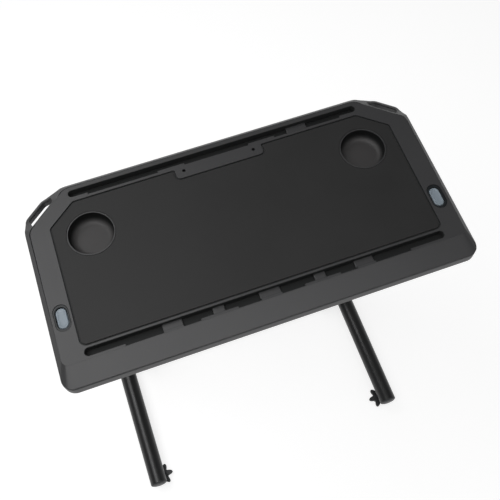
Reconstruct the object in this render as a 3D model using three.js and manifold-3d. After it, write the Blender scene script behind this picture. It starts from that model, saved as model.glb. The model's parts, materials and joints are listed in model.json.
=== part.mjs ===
// Height-adjustable desk for indoor cycling, in millimetres.
// +Z is up, +Y points away from the rider and X = 0 is the plane of symmetry.
// The origin lies on the floor, in the middle of the footprint.

import * as THREE from "three";
import { mergeVertices } from "three/addons/utils/BufferGeometryUtils.js";
import Module from "manifold-3d";

const wasm = await Module();
wasm.setup();

// Whole desk
const footprintDepth = 550; // front tips of the legs to the backs of the wheels
const topHeight = 1046; // floor to the top face, in the middle of the travel
const deskSetback = 104; // mat's front edge behind the front tips of the legs

// Fits
const seatGap = 0.3; // between pieces that rest on or sit in each other
const slideGap = 0.4; // around what slides or turns
const overrun = 4; // how far a cutter reaches past the face that it opens

// Top shell, depths below the top face and places from the mat's front edge
const flatWidth = 767.8;
const flatFront = 26;
const rearReserve = 126; // flat face's rear edge to the backs of the wheels
const flatRear = footprintDepth - deskSetback - rearReserve;
const chamferDepth = 70;
const chamferWidth = 83.4;
const flatFrontRound = 13;
const flatRearRound = 12;
const rimFlare = 10.9;
const rimWidth = flatWidth + 2 * rimFlare;
const rimFront = 67.5;
const rimRearFlare = 12;
const rimRear = flatRear + rimRearFlare;
const rimFrontRound = 30;
const rimRearRound = 12;
const rimDepth = 13;
const lipHeight = 2;
const seamGap = 0.6;
const deckThickness = 6;
const shellWall = 3;

// Lower shell
const shellDepth = 35;
const shellBottomEase = 3;
const rodHoleClearance = 2;

// Cable loops at the rear corners
const loopLength = 75; // along the side, from the rim's rear edge
const loopKneeInset = 5.8;
const loopKneeRise = 44;
const loopShoulderWidth = 39;
const loopShoulderRise = 14;
const loopEndWidth = 44;
const loopStartY = rimRear - loopLength;
const loopKneeX = rimWidth / 2 - loopKneeInset;
const loopKneeY = rimRear - loopKneeRise;
const loopShoulderX = loopKneeX - loopShoulderWidth;
const loopShoulderY = rimRear - loopShoulderRise;
const loopEndX = loopShoulderX - loopEndWidth;
const loopBarWidth = 8;
const loopLedge = 0.4; // chamfer edge to the opening
const loopFirstShare = 0.12;
const loopLastShare = 0.7;
const loopMiddleShares = [0.35, 0.68];
const loopRound = 3;

// Work mat
const matMargin = 38.9; // flat face's side to the mat
const matWidth = flatWidth - 2 * matMargin;
const matRearMargin = 33.9;
const matDepth = flatRear - matRearMargin;
const matThickness = 3;
const matRecess = 3.5;
const matGroove = 1.2;
const matFrontRound = 12;
const matRearRound = 4;
const matChamferDepth = 43.4;
const matChamferWidth = 53.1;
const tabWidth = 177.4;
const tabDepth = 20.6;
const tabRound = 8;
const tabHoleSpacing = 143;
const tabHoleMargin = 5.6; // mat's rear edge to the holes
const tabHoleRadius = 2.5;

// Cup wells
const wellSideMargin = 70.1; // mat's side to a well's axis
const wellRearMargin = 76.5; // mat's rear edge to the wells' axes
const wellSpacing = matWidth - 2 * wellSideMargin;
const wellSetback = matDepth - wellRearMargin;
const wellRadius = 43.4;
const wellWall = 1.4;
const wellFlange = 1.4;
const wellDepth = 25;
const wellFloor = 2;
const wellRound = 7;

// Device slots, each with a wall of shallow pockets on the rider's side.
// Pockets and ledges are shares of half the slot's width.
const slotWall = 1.8;
const slotFloor = 2;
const slotDepth = 17;
const ledgeDepth = 9;
const pocketDepth = 3.6;
const frontSlotMargin = 2.6; // mat's side to the slot's end
const frontSlotNear = -20.5;
const frontSlotFar = -5.7;
const rearSlotMargin = 3.8; // flat face's rear corner to the slot's end
const rearSlotWidth = 14;
const rearSlotEdge = 9; // flat face's rear edge to the slot
const rearSlotFar = flatRear - rearSlotEdge;
const rearSlotNear = rearSlotFar - rearSlotWidth;
const frontSlot = {
  width: matWidth - 2 * frontSlotMargin, near: frontSlotNear, far: frontSlotFar,
  pockets: [[-0.792, -0.59], [-0.482, -0.388], [-0.184, -0.058], [0.058, 0.184], [0.388, 0.482],
    [0.59, 0.792]],
  ledges: [[-0.59, -0.482], [-0.316, -0.251], [-0.058, 0.058], [0.251, 0.316], [0.482, 0.59]],
};
const rearSlot = {
  width: flatWidth - 2 * (chamferWidth + rearSlotMargin), near: rearSlotNear, far: rearSlotFar,
  pockets: [[-0.876, -0.408], [-0.222, 0.222], [0.408, 0.876]],
  ledges: [[0.506, 0.647]],
};

// Height-release buttons
const buttonMargin = 19.1; // flat face's side to a button's middle
const buttonSpacing = flatWidth - 2 * buttonMargin;
const buttonSetback = 63;
const buttonWidth = 20.4;
const buttonLength = 40.6;
const buttonDrop = 1.6;
const buttonCap = 5.4;
const buttonFlange = 2;
const buttonFlangeHeight = 1.7;
const buttonStemRadius = 4;
const buttonEase = 1.2;
const bezelRim = 3.4;
const bezelLength = 52;
const bezelDrop = 0.8;
const bezelClip = 2.2;
const bezelClipHeight = 1.7;

// Columns, across and behind the mat's front edge
const columnMargin = 83.9; // flat face's side to a column's axis
const columnSpacing = flatWidth - 2 * columnMargin;
const columnRearMargin = 30; // flat face's rear edge to the columns' axes
const columnSetback = flatRear - columnRearMargin;

// Release rockers, cross shafts and pins
const rockerTop = 16;
const rockerHeight = 5;
const rockerWidth = 8;
const rockerFoot = 6;
const trunnionRadius = 2.4;
const trunnionLength = 22;
const bossRadius = 5;
const postThickness = 3;
const postGap = 1;
const postTop = 14;
const postHalfDepth = 7;
const shaftForward = 18; // cross shaft's axis in front of the columns' axes
const shaftSetback = columnSetback - shaftForward;
const rockerOverlap = 7; // rocker's front end in front of the button's middle
const rockerReach = 22; // cross shaft's axis behind the rocker's rear end
const rockerFront = buttonSetback - rockerOverlap;
const rockerRear = shaftSetback - rockerReach;
const rockerPivot = (rockerFront + rockerRear) / 2;
const shaftDepth = 20;
const shaftRadius = 3.6;
const shaftInset = 23.8; // button's middle to the cross shaft's outer end
const shaftOuterX = buttonSpacing / 2 - shaftInset;
const shaftArmWidth = 8;
const shaftArmLength = 27;
const shaftArmFront = shaftSetback - shaftArmLength;
const shaftArmHeight = 3.6;
const shaftLugDepth = 8;
const fingerWidth = 8;
const fingerOverlap = 5; // finger's rear end behind the columns' axes
const fingerRear = columnSetback + fingerOverlap;
const fingerDrop = 4.4;
const innerPostOffset = 12; // column's axis to the first post of the cross shaft
const postPitch = 14;
const innerPostX = columnSpacing / 2 + innerPostOffset;
const outerPostX = innerPostX + postPitch;
const springRadius = 5;
const springWall = 1.4;
const springSetback = buttonSetback;

// Column tubes
const outerColumnRadius = 25;
const outerColumnWall = 2.2;
const outerColumnTop = 742;
const innerColumnRadius = 21;
const innerColumnWall = 2;
const innerColumnBottom = 440;
const collarHeight = 26;
const collarFlange = 2.5;
const collarLip = 10;
const glideHeight = 24;
const glideSkirt = 12;
const glideWall = 1.6;
const headRadius = 30;
const headPlate = 8;
const headHeight = 42;

// Gas springs
const cylinderRadius = 14;
const cylinderWall = 2;
const cylinderTop = 735;
const cylinderCap = 8;
const rodRadius = 5;
const rodGuideClearance = 0.4;
const pistonHeight = 18;
const pistonBottom = 520;
const rodCollarRadius = 9;
const rodCollarHeight = 7;
const rodTopDepth = 29;
const pinRadius = 2.2;
const pinLength = 34;
const pinBoreDepth = 42;

// Frame under the desktop
const armWidth = 25;
const armHeight = 20;
const armWall = 1.8;
const armFront = 28;

// Levelling feet
const footInset = 14; // stud axis inboard of the leg axis
const footSetback = -72;
const bushRadius = 6.5;
const bushHeight = 20;
const studRadius = 4;
const studRise = 5;
const padRadius = 17;
const padHeight = 6;
const padFloor = 2.5;
const padEase = 1.5;
const knobHeight = 9;
const knobRadius = 18.8;
const knobLobe = 3.6;
const knobEase = 1.4;
const knobLobes = 5;
const knobGap = 2; // pad to knob
const knobTravel = 5; // knob to bush
const knobBottom = padHeight + knobGap;
const bushBottom = knobBottom + knobHeight + knobTravel;
const bushTop = bushBottom + bushHeight;
const studTop = bushTop + studRise;

// Base
const legMargin = 19.9; // flat face's side to a leg's axis
const legSpacing = flatWidth - 2 * legMargin;
const legRadius = 21;
const legWall = 2;
const bushDrop = 24; // leg's axis to the bush's foot
const legHeight = bushBottom + bushDrop; // axis above the floor
const legCapDome = 7;
const legCapPlug = 16;
const crossbarSetback = columnSetback;
const saddleWidth = 62;
const saddleFloor = 5;
const saddleSocket = 30;
const saddleEase = 8;

// Wheels
const wheelRadius = 35;
const wheelWidth = 20;
const wheelClearance = 10; // leg's rear end to the tyre
const legRear = footprintDepth - deskSetback - 2 * wheelRadius - wheelClearance;
const hubRadius = 22;
const hubRecess = 4;
const hubRimWidth = 5;
const hubBossRadius = 9;
const tyreCrown = 3;
const axleRadius = 4;
const axleHeadRadius = 8;
const axleHeadHeight = 4;
const bracketPlate = 3;
const bracketGap = 1.2;
const bracketBack = 4;
const bracketHeight = 34;
const bracketNose = 13;
const spigotLength = 18;

// Facet counts
const tubeSides = 20;
const smallSides = 12;
const wellSides = 32;
const cornerSteps = 4;
const knobPoints = 30;

const finishes = {
  shell: { color: 0x3a3a3b, roughness: 0.55, metalness: 0 },
  lower: { color: 0x39393a, roughness: 0.6, metalness: 0 },
  mat: { color: 0x232425, roughness: 0.85, metalness: 0 },
  well: { color: 0x2b2c2d, roughness: 0.6, metalness: 0 },
  liner: { color: 0x1a1b1c, roughness: 0.7, metalness: 0 },
  button: { color: 0x6d7886, roughness: 0.5, metalness: 0 },
  bezel: { color: 0x18191a, roughness: 0.5, metalness: 0 },
  steel: { color: 0x1d1e20, roughness: 0.4, metalness: 0.2 },
  bright: { color: 0xa8abb0, roughness: 0.3, metalness: 1 },
  nylon: { color: 0x27292b, roughness: 0.6, metalness: 0 },
  rubber: { color: 0x1c1c1d, roughness: 0.9, metalness: 0 },
};
for (const [name, finish] of Object.entries(finishes)) {
  finishes[name] = new THREE.MeshStandardMaterial({ name, ...finish });
}

const matFrontY = deskSetback - footprintDepth / 2;
const sides = [{ word: "left", sign: -1 }, { word: "right", sign: 1 }];
const desk = new THREE.Group();

// A place behind the mat's front edge, and a level below the top face
function behind(distance) {
  return matFrontY + distance;
}

function below(depth) {
  return topHeight - depth;
}

// Turns a geometry into a solid that can be joined and cut
function solid(geometry) {
  geometry.deleteAttribute("normal");
  geometry.deleteAttribute("uv");
  const merged = mergeVertices(geometry);
  const index = Array.from(merged.index.array);
  const triangles = [];
  for (let i = 0; i < index.length; i += 3) {
    const [a, b, c] = index.slice(i, i + 3);
    if (a !== b && b !== c && c !== a) {
      triangles.push(a, b, c);
    }
  }
  const vertProperties = new Float32Array(merged.attributes.position.array);
  const triVerts = new Uint32Array(triangles);
  return new wasm.Manifold(new wasm.Mesh({ numProp: 3, vertProperties, triVerts }));
}

function join(first, ...others) {
  return others.reduce((whole, other) => whole.add(other), first);
}

function cut(first, ...others) {
  return others.reduce((whole, other) => whole.subtract(other), first);
}

// Adds a solid to the desk as one named piece
function piece(name, shape, finish) {
  const { vertProperties, triVerts } = shape.getMesh();
  const geometry = new THREE.BufferGeometry();
  geometry.setAttribute("position", new THREE.BufferAttribute(vertProperties, 3));
  geometry.setIndex(new THREE.BufferAttribute(triVerts, 1));
  geometry.computeVertexNormals();
  const mesh = new THREE.Mesh(geometry, finishes[finish]);
  mesh.name = name;
  desk.add(mesh);
}

// A box between two opposite corners
function block([x0, y0, z0], [x1, y1, z1]) {
  const box = new THREE.BoxGeometry(Math.abs(x1 - x0), Math.abs(y1 - y0), Math.abs(z1 - z0));
  return solid(box.translate((x0 + x1) / 2, (y0 + y1) / 2, (z0 + z1) / 2));
}

// A body of revolution about a line through a point along +Z, +X or +Y.
// The profile lists radius and height, going up on the outside.
function turned(profile, [x, y, z], axis = "z", steps = tubeSides) {
  const points = profile.map(([radius, height]) => new THREE.Vector2(radius, height));
  const lathe = new THREE.LatheGeometry(points, steps);
  if (axis === "z") {
    lathe.rotateX(Math.PI / 2);
  }
  if (axis === "x") {
    lathe.rotateZ(-Math.PI / 2);
  }
  return solid(lathe.translate(x, y, z));
}

function rod(radius, from, to, place, axis = "z", steps = smallSides) {
  return turned([[0, from], [radius, from], [radius, to], [0, to]], place, axis, steps);
}

function tube(outer, inner, from, to, place, axis = "z", steps = tubeSides) {
  const profile = [[inner, from], [outer, from], [outer, to], [inner, to], [inner, from]];
  return turned(profile, place, axis, steps);
}

// A closed outline from corners [x, y, setback], rounded by circular arcs
function rounded(corners, steps = cornerSteps) {
  const ring = [];
  corners.forEach(([x, y, setback], index) => {
    const corner = new THREE.Vector2(x, y);
    const before = new THREE.Vector2(...corners.at(index - 1));
    const after = new THREE.Vector2(...corners[(index + 1) % corners.length]);
    const inward = corner.clone().sub(before).normalize();
    const outward = after.sub(corner).normalize();
    const weight = Math.cos(inward.angleTo(outward) / 2);
    const start = corner.clone().addScaledVector(inward, -setback);
    const end = corner.clone().addScaledVector(outward, setback);
    for (let step = 0; step <= steps; step += 1) {
      const t = step / steps;
      const shares = [(1 - t) ** 2, 2 * t * (1 - t) * weight, t ** 2];
      const sum = shares[0] + shares[1] + shares[2];
      const point = new THREE.Vector2();
      point.addScaledVector(start, shares[0] / sum);
      point.addScaledVector(corner, shares[1] / sum);
      point.addScaledVector(end, shares[2] / sum);
      ring.push(point);
    }
  });
  return ring;
}

// The corners of the right half, front to rear, become a whole symmetric outline
function symmetric(rightCorners) {
  const left = rightCorners.map(([x, y, setback]) => [-x, y, setback]).reverse();
  return rounded([...rightCorners, ...left]);
}

// A skin over level rings of equal point counts, lowest ring first, with flat ends
function loft(levels) {
  const count = levels[0].ring.length;
  const positions = levels.flatMap(({ ring, z }) => ring.flatMap((point) => [point.x, point.y, z]));
  const index = [];
  for (let level = 0; level < levels.length - 1; level += 1) {
    for (let i = 0; i < count; i += 1) {
      const low = level * count + i;
      const lowNext = level * count + (i + 1) % count;
      index.push(low, lowNext, lowNext + count, low, lowNext + count, low + count);
    }
  }
  const last = (levels.length - 1) * count;
  for (const [a, b, c] of THREE.ShapeUtils.triangulateShape(levels[0].ring, [])) {
    index.push(c, b, a);
  }
  for (const [a, b, c] of THREE.ShapeUtils.triangulateShape(levels.at(-1).ring, [])) {
    index.push(last + a, last + b, last + c);
  }
  const geometry = new THREE.BufferGeometry();
  geometry.setAttribute("position", new THREE.Float32BufferAttribute(positions, 3));
  geometry.setIndex(index);
  return solid(geometry);
}

function prism(ring, bottom, top) {
  return loft([{ ring, z: bottom }, { ring, z: top }]);
}

// A rectangular outline with round ends, long along Y
function stadium(x, y, width, length) {
  const half = { x: width / 2, y: length / 2 };
  return rounded([
    [x + half.x, y - half.y, half.x], [x + half.x, y + half.y, half.x],
    [x - half.x, y + half.y, half.x], [x - half.x, y - half.y, half.x],
  ], cornerSteps + 1);
}

// The line of the top face's rear chamfer, moved inward by an inset
function chamferLine(inset) {
  const start = new THREE.Vector2(flatWidth / 2, behind(flatRear - chamferDepth));
  const end = new THREE.Vector2(flatWidth / 2 - chamferWidth, behind(flatRear));
  const along = end.clone().sub(start);
  const inward = new THREE.Vector2(-along.y, along.x).normalize();
  start.addScaledVector(inward, inset);
  return {
    at: (share) => start.clone().addScaledVector(along, share),
    yAt: (x) => start.y + along.y * (x - start.x) / along.x,
    xAt: (y) => start.x + along.x * (y - start.y) / along.y,
  };
}

// Outline of the flat top face
function flatRing() {
  const chamfer = chamferLine(0);
  const middle = loopMiddleShares.map((share) => chamfer.at(share));
  return symmetric([
    [flatWidth / 2, behind(-flatFront), flatFrontRound],
    [flatWidth / 2, behind(flatRear - chamferDepth), flatRearRound],
    ...middle.map((point) => [point.x, point.y, flatRearRound]),
    [flatWidth / 2 - chamferWidth, behind(flatRear), flatRearRound],
  ]);
}

// Outline of the rim, which bows out round the cable loops
function rimRing(inset) {
  return symmetric([
    [rimWidth / 2 - inset, behind(-rimFront) + inset, rimFrontRound],
    [rimWidth / 2 - inset, behind(loopStartY), rimRearRound],
    [loopKneeX - inset, behind(loopKneeY) - inset, rimRearRound],
    [loopShoulderX - inset, behind(loopShoulderY) - inset, rimRearRound],
    [loopEndX, behind(rimRear) - inset, rimRearRound],
  ]);
}

// Outline of the hollow inside both shells
function hollowRing(halfWidth, front, rear, round) {
  const chamfer = chamferLine(shellWall + loopLedge);
  return symmetric([
    [halfWidth - shellWall, front + shellWall, round - shellWall],
    [halfWidth - shellWall, chamfer.yAt(halfWidth - shellWall), flatRearRound],
    [chamfer.xAt(rear - shellWall), rear - shellWall, flatRearRound],
  ]);
}

// Through opening between the chamfer and the bar of a cable loop
function loopCutter(sign) {
  const chamfer = chamferLine(-loopLedge);
  const first = chamfer.at(loopFirstShare);
  const last = chamfer.at(loopLastShare);
  const corners = [
    [first.x, first.y, loopRound],
    [loopKneeX - loopBarWidth, behind(loopKneeY) - loopBarWidth / 2, loopRound],
    [loopShoulderX - loopBarWidth / 2, behind(loopShoulderY) - loopBarWidth, loopRound],
    [last.x + loopBarWidth / 2, behind(loopShoulderY) - loopBarWidth / 2, loopRound],
    [last.x, last.y, loopRound],
  ];
  const handed = corners.map(([x, y, setback]) => [sign * x, y, setback]);
  const ring = rounded(sign > 0 ? handed : handed.reverse());
  return prism(ring, below(shellDepth + overrun), below(-overrun));
}

// Outline of the mat, or of its recess when grown by the groove
function matRing(grow) {
  const lean = Math.tan(Math.PI / 8) * grow;
  const tabHalf = tabWidth / 2 + matGroove - grow;
  return symmetric([
    [matWidth / 2 + grow, behind(-grow), matFrontRound],
    [matWidth / 2 + grow, behind(matDepth - matChamferDepth + lean), matRearRound],
    [matWidth / 2 - matChamferWidth + lean, behind(matDepth + grow), matRearRound],
    [tabHalf, behind(matDepth + grow), tabRound / 2],
    [tabHalf, behind(matDepth - tabDepth - matGroove + grow), tabRound],
  ]);
}

// Outline of a device slot, grown outward by a wall
function slotRing({ width, near, far, pockets }, grow) {
  const radius = (far - near) / 2;
  const middle = behind((near + far) / 2);
  const end = width / 2 - radius;
  const nearY = behind(near) - grow;
  const ring = [];
  const addEnd = (sign, fromAngle) => {
    for (let step = 0; step <= cornerSteps * 2; step += 1) {
      const angle = fromAngle + Math.PI * step / (cornerSteps * 2);
      const reach = radius + grow;
      ring.push(new THREE.Vector2(sign * end + reach * Math.cos(angle), middle + reach * Math.sin(angle)));
    }
  };
  addEnd(-1, Math.PI / 2);
  for (const [start, stop] of pockets.map((shares) => shares.map((share) => share * width / 2))) {
    ring.push(new THREE.Vector2(start - grow, nearY));
    ring.push(new THREE.Vector2(start - grow, nearY - pocketDepth));
    ring.push(new THREE.Vector2(stop + grow, nearY - pocketDepth));
    ring.push(new THREE.Vector2(stop + grow, nearY));
  }
  addEnd(1, -Math.PI / 2);
  return ring;
}

// Upper moulding: flat deck, sloping fascia, recess for the mat, slots and cup holes
function topShell() {
  const foldY = behind(-flatFront - shellWall - seatGap);
  const hollow = loft([
    { ring: hollowRing(rimWidth / 2, behind(-rimFront), behind(rimRear), rimFrontRound),
      z: below(rimDepth + lipHeight + overrun) },
    { ring: hollowRing(rimWidth / 2, behind(-rimFront), behind(rimRear), rimFrontRound),
      z: below(rimDepth + lipHeight) },
    { ring: hollowRing(flatWidth / 2, foldY, behind(flatRear), flatFrontRound),
      z: below(deckThickness) },
  ]);
  const skin = loft([
    { ring: rimRing(0), z: below(rimDepth + lipHeight) },
    { ring: rimRing(0), z: below(rimDepth) },
    { ring: flatRing(), z: below(0) },
  ]);
  const cutters = [hollow, prism(matRing(matGroove), below(matRecess), below(-overrun))];
  for (const slot of [frontSlot, rearSlot]) {
    cutters.push(prism(slotRing(slot, 0), below(deckThickness + overrun), below(-overrun)));
  }
  for (const { sign } of sides) {
    const well = [sign * wellSpacing / 2, behind(wellSetback), 0];
    const hole = wellRadius + wellWall + seatGap;
    cutters.push(loopCutter(sign));
    cutters.push(rod(hole, below(deckThickness + overrun), below(0), well, "z", wellSides));
    const tabHole = [sign * tabHoleSpacing / 2, behind(matDepth - tabHoleMargin), 0];
    cutters.push(rod(tabHoleRadius, below(deckThickness + overrun), below(-overrun), tabHole));
    const rimOutline = bezelOutline(sign, seatGap);
    cutters.push(prism(rimOutline, below(deckThickness + overrun), below(-overrun)));
  }
  splitTopShell(cut(skin, ...cutters));
}

// The upper moulding is one piece in fact. It is divided on a plain plane between the front slot and
// the mat's recess, so that the collision pieces of each part can leave their own openings open
function splitTopShell(shell) {
  const plane = behind((frontSlotFar - matGroove) / 2);
  const [low, high] = [below(rimDepth + lipHeight + overrun), below(-overrun)];
  const front = block([-rimWidth, -rimWidth, low], [rimWidth, plane, high]);
  const rear = block([-rimWidth, plane, low], [rimWidth, rimWidth, high]);
  piece("top_shell", cut(shell, front), "shell");
  piece("top_shell_front", cut(shell, rear), "shell");
}

// Outline of a button bezel, grown by a gap or a clip
function bezelOutline(sign, grow) {
  const x = sign * buttonSpacing / 2;
  const width = buttonWidth + 2 * (bezelRim + slideGap + grow);
  return stadium(x, behind(buttonSetback), width, bezelLength + 2 * grow);
}

// Lower moulding: a tray with the posts that carry the release linkage
function bottomShell() {
  const seam = below(rimDepth + lipHeight + seamGap);
  const floor = below(shellDepth - shellWall);
  const skin = loft([
    { ring: rimRing(shellBottomEase), z: below(shellDepth) },
    { ring: rimRing(0), z: below(shellDepth - shellBottomEase) },
    { ring: rimRing(0), z: seam },
  ]);
  const hollow = hollowRing(rimWidth / 2, behind(-rimFront), behind(rimRear), rimFrontRound);
  const cutters = [prism(hollow, floor, seam + overrun)];
  const posts = [];
  const holes = [];
  for (const { sign } of sides) {
    const column = [sign * columnSpacing / 2, behind(columnSetback), 0];
    cutters.push(loopCutter(sign));
    cutters.push(rod(rodRadius + rodHoleClearance, below(shellDepth + overrun), floor + overrun, column));
    const rockerX = sign * buttonSpacing / 2;
    const postOffset = rockerWidth / 2 + postGap;
    for (const place of [-postOffset - postThickness, postOffset]) {
      posts.push(post(rockerX + place, behind(rockerPivot)));
    }
    for (const x of [innerPostX, outerPostX]) {
      posts.push(post(sign * x - postThickness / 2, behind(shaftSetback)));
    }
    holes.push(rod(trunnionRadius + slideGap, -trunnionLength, trunnionLength,
      [rockerX, behind(rockerPivot), rockerAxis()], "x"));
    holes.push(rod(shaftRadius + slideGap, -postThickness * 2, outerPostX - innerPostX + postThickness * 2,
      [Math.min(sign * innerPostX, sign * outerPostX), behind(shaftSetback), below(shaftDepth)], "x"));
  }
  piece("bottom_shell", cut(join(cut(skin, ...cutters), ...posts), ...holes), "lower");
}

function post(x, y) {
  const low = [x, y - postHalfDepth, below(shellDepth - shellWall / 2)];
  return block(low, [x + postThickness, y + postHalfDepth, below(postTop)]);
}

function rockerAxis() {
  return below(rockerTop + rockerHeight / 2);
}

function workMat() {
  const bottom = below(matRecess - seatGap);
  const sheet = prism(matRing(0), bottom, bottom + matThickness);
  const holes = sides.map(({ sign }) => {
    const well = [sign * wellSpacing / 2, behind(wellSetback), 0];
    const radius = wellRadius + wellWall + wellFlange + seatGap;
    return rod(radius, bottom - overrun, bottom + matThickness + overrun, well, "z", wellSides);
  });
  piece("work_mat", cut(sheet, ...holes), "mat");
}

// Round cup with a thin flange that rests on the recess floor
function cupWell({ word, sign }) {
  const outer = wellRadius + wellWall;
  const flangeBottom = -matRecess + seatGap;
  const flangeTop = flangeBottom + matThickness;
  const floor = -wellDepth;
  const profile = [[0, floor - wellFloor], [outer - wellRound, floor - wellFloor]];
  const inner = [];
  for (let step = 1; step <= cornerSteps; step += 1) {
    const angle = Math.PI / 2 * step / cornerSteps;
    const across = wellRound * (1 - Math.sin(angle));
    const up = wellRound * (1 - Math.cos(angle));
    profile.push([outer - across, floor - wellFloor + up]);
    inner.unshift([wellRadius - across, floor + up]);
  }
  profile.push([outer, flangeBottom], [outer + wellFlange, flangeBottom]);
  profile.push([outer + wellFlange, flangeTop], [wellRadius, flangeTop], ...inner);
  profile.push([wellRadius - wellRound, floor], [0, floor]);
  const place = [sign * wellSpacing / 2, behind(wellSetback), below(0)];
  piece(`cup_well_${word}`, turned(profile, place, "z", wellSides), "well");
}

// Trough under a device slot, with raised ledges between its deeper pockets
function slotLiner(name, slot) {
  const top = below(deckThickness + seatGap);
  const bottom = below(slotDepth);
  const walls = prism(slotRing(slot, slotWall), bottom, top);
  const trough = cut(walls, prism(slotRing(slot, 0), bottom + slotFloor, top + overrun));
  const ledges = slot.ledges.map(([start, stop]) => {
    const low = [start * slot.width / 2, behind(slot.near) - slotWall / 2, bottom + slotFloor / 2];
    const high = [stop * slot.width / 2, behind(slot.far) + slotWall / 2, below(ledgeDepth)];
    return block(low, high);
  });
  piece(name, join(trough, ...ledges), "liner");
}

function buttonBezel({ word, sign }) {
  const x = sign * buttonSpacing / 2;
  const clipTop = below(deckThickness + seatGap);
  const clipBottom = clipTop - bezelClipHeight;
  const rim = prism(bezelOutline(sign, 0), clipBottom, below(bezelDrop));
  const clip = prism(bezelOutline(sign, bezelClip), clipBottom, clipTop);
  const room = stadium(x, behind(buttonSetback), buttonWidth + 2 * slideGap, buttonLength + 2 * slideGap);
  const well = prism(room, clipBottom - overrun, below(bezelDrop) + overrun);
  piece(`button_bezel_${word}`, cut(join(rim, clip), well), "bezel");
}

function buttonFlangeTop() {
  return below(deckThickness + 2 * seatGap + bezelClipHeight);
}

function button({ word, sign }) {
  const x = sign * buttonSpacing / 2;
  const y = behind(buttonSetback);
  const top = below(buttonDrop);
  const flangeTop = buttonFlangeTop();
  const flangeBottom = flangeTop - buttonFlangeHeight;
  const cap = loft([
    { ring: stadium(x, y, buttonWidth, buttonLength), z: flangeBottom },
    { ring: stadium(x, y, buttonWidth, buttonLength), z: top - buttonEase },
    { ring: stadium(x, y, buttonWidth - 2 * buttonEase, buttonLength - 2 * buttonEase), z: top },
  ]);
  const flange = stadium(x, y, buttonWidth + 2 * buttonFlange, buttonLength + 2 * buttonFlange);
  const hollowTop = top - buttonCap / 2;
  const hollow = stadium(x, y, buttonWidth - buttonCap, buttonLength - buttonCap);
  const body = cut(
    join(cap, prism(flange, flangeBottom, flangeTop)),
    prism(hollow, flangeBottom - overrun, hollowTop),
  );
  const stem = rod(buttonStemRadius, below(rockerTop - seatGap), hollowTop + buttonEase, [x, y, 0]);
  piece(`button_${word}`, join(body, stem), "button");
}

// Rocker that the button tips, with a cross foot that lifts the shaft's arm
function releaseRocker({ word, sign }) {
  const x = sign * buttonSpacing / 2;
  const [bottom, top] = [below(rockerTop + rockerHeight), below(rockerTop)];
  const bar = block([x - rockerWidth / 2, behind(rockerFront), bottom],
    [x + rockerWidth / 2, behind(rockerRear), top]);
  const foot = block([x, behind(rockerRear - rockerFoot), bottom],
    [sign * (shaftOuterX - shaftArmWidth), behind(rockerRear), top]);
  const boss = rod(bossRadius, -rockerWidth / 2, rockerWidth / 2,
    [x, behind(rockerPivot), rockerAxis()], "x");
  const trunnions = rod(trunnionRadius, -trunnionLength / 2, trunnionLength / 2,
    [x, behind(rockerPivot), rockerAxis()], "x");
  piece(`release_rocker_${word}`, join(bar, foot, boss, trunnions), "nylon");
}

// Cross shaft with the arm that the rocker lifts and the finger that presses the pin
function releaseShaft({ word, sign }) {
  const axis = [0, behind(shaftSetback), below(shaftDepth)];
  const innerX = columnSpacing / 2 - fingerWidth / 2;
  const ends = [sign * innerX, sign * shaftOuterX];
  const bar = rod(shaftRadius, Math.min(...ends), Math.max(...ends), axis, "x");
  const armBottom = below(rockerTop - seatGap);
  const armX = sign * (shaftOuterX - shaftArmWidth);
  const armEnd = [sign * shaftOuterX, axis[1] + shaftLugDepth / 2, armBottom + shaftArmHeight];
  const arm = block([armX, behind(shaftArmFront), armBottom], armEnd);
  const lug = block([armX, axis[1] - shaftLugDepth / 2, axis[2]], armEnd);
  const finger = block([sign * innerX, behind(shaftSetback), axis[2] - fingerDrop],
    [sign * (innerX + fingerWidth), behind(fingerRear), axis[2]]);
  piece(`release_shaft_${word}`, join(bar, arm, lug, finger), "steel");
}

function buttonSpring({ word, sign }) {
  const place = [sign * buttonSpacing / 2, behind(springSetback), 0];
  const bottom = below(shellDepth - shellWall) + seatGap;
  const top = below(rockerTop + rockerHeight) - seatGap;
  piece(`button_spring_${word}`, tube(springRadius, springRadius - springWall, bottom, top, place,
    "z", smallSides), "bright");
}

function headTop() {
  return below(shellDepth + seatGap);
}

// Socket under the desktop that holds the inner column and the gas spring's rod
function columnHead({ word, sign }) {
  const place = [sign * columnSpacing / 2, behind(columnSetback), headTop()];
  const bore = innerColumnRadius + seatGap;
  const hole = rodRadius + seatGap;
  const profile = [[hole, 0], [hole, -headPlate], [bore, -headPlate], [bore, -headHeight],
    [headRadius, -headHeight], [headRadius, 0], [hole, 0]];
  piece(`column_head_${word}`, turned(profile, place), "steel");
}

function innerColumn({ word, sign }) {
  const place = [sign * columnSpacing / 2, behind(columnSetback), 0];
  const top = headTop() - headPlate - seatGap;
  piece(`inner_column_${word}`, tube(innerColumnRadius, innerColumnRadius - innerColumnWall,
    innerColumnBottom, top, place), "steel");
}

// Plastic foot of the inner column that glides in the outer one
function columnGlide({ word, sign }) {
  const place = [sign * columnSpacing / 2, behind(columnSetback), innerColumnBottom - seatGap];
  const outer = outerColumnRadius - outerColumnWall - slideGap;
  const inside = innerColumnRadius - innerColumnWall - seatGap;
  const profile = [[inside - glideWall, -glideSkirt], [outer, -glideSkirt], [outer, 0], [inside, 0],
    [inside, glideHeight - glideSkirt], [inside - glideWall, glideHeight - glideSkirt],
    [inside - glideWall, -glideSkirt]];
  piece(`column_glide_${word}`, turned(profile, place), "nylon");
}

function saddleTopOfBar() {
  return legHeight + legRadius + saddleFloor;
}

function outerColumn({ word, sign }) {
  const place = [sign * columnSpacing / 2, behind(columnSetback), 0];
  piece(`outer_column_${word}`, tube(outerColumnRadius, outerColumnRadius - outerColumnWall,
    saddleTopOfBar() + seatGap, outerColumnTop, place), "steel");
}

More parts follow.
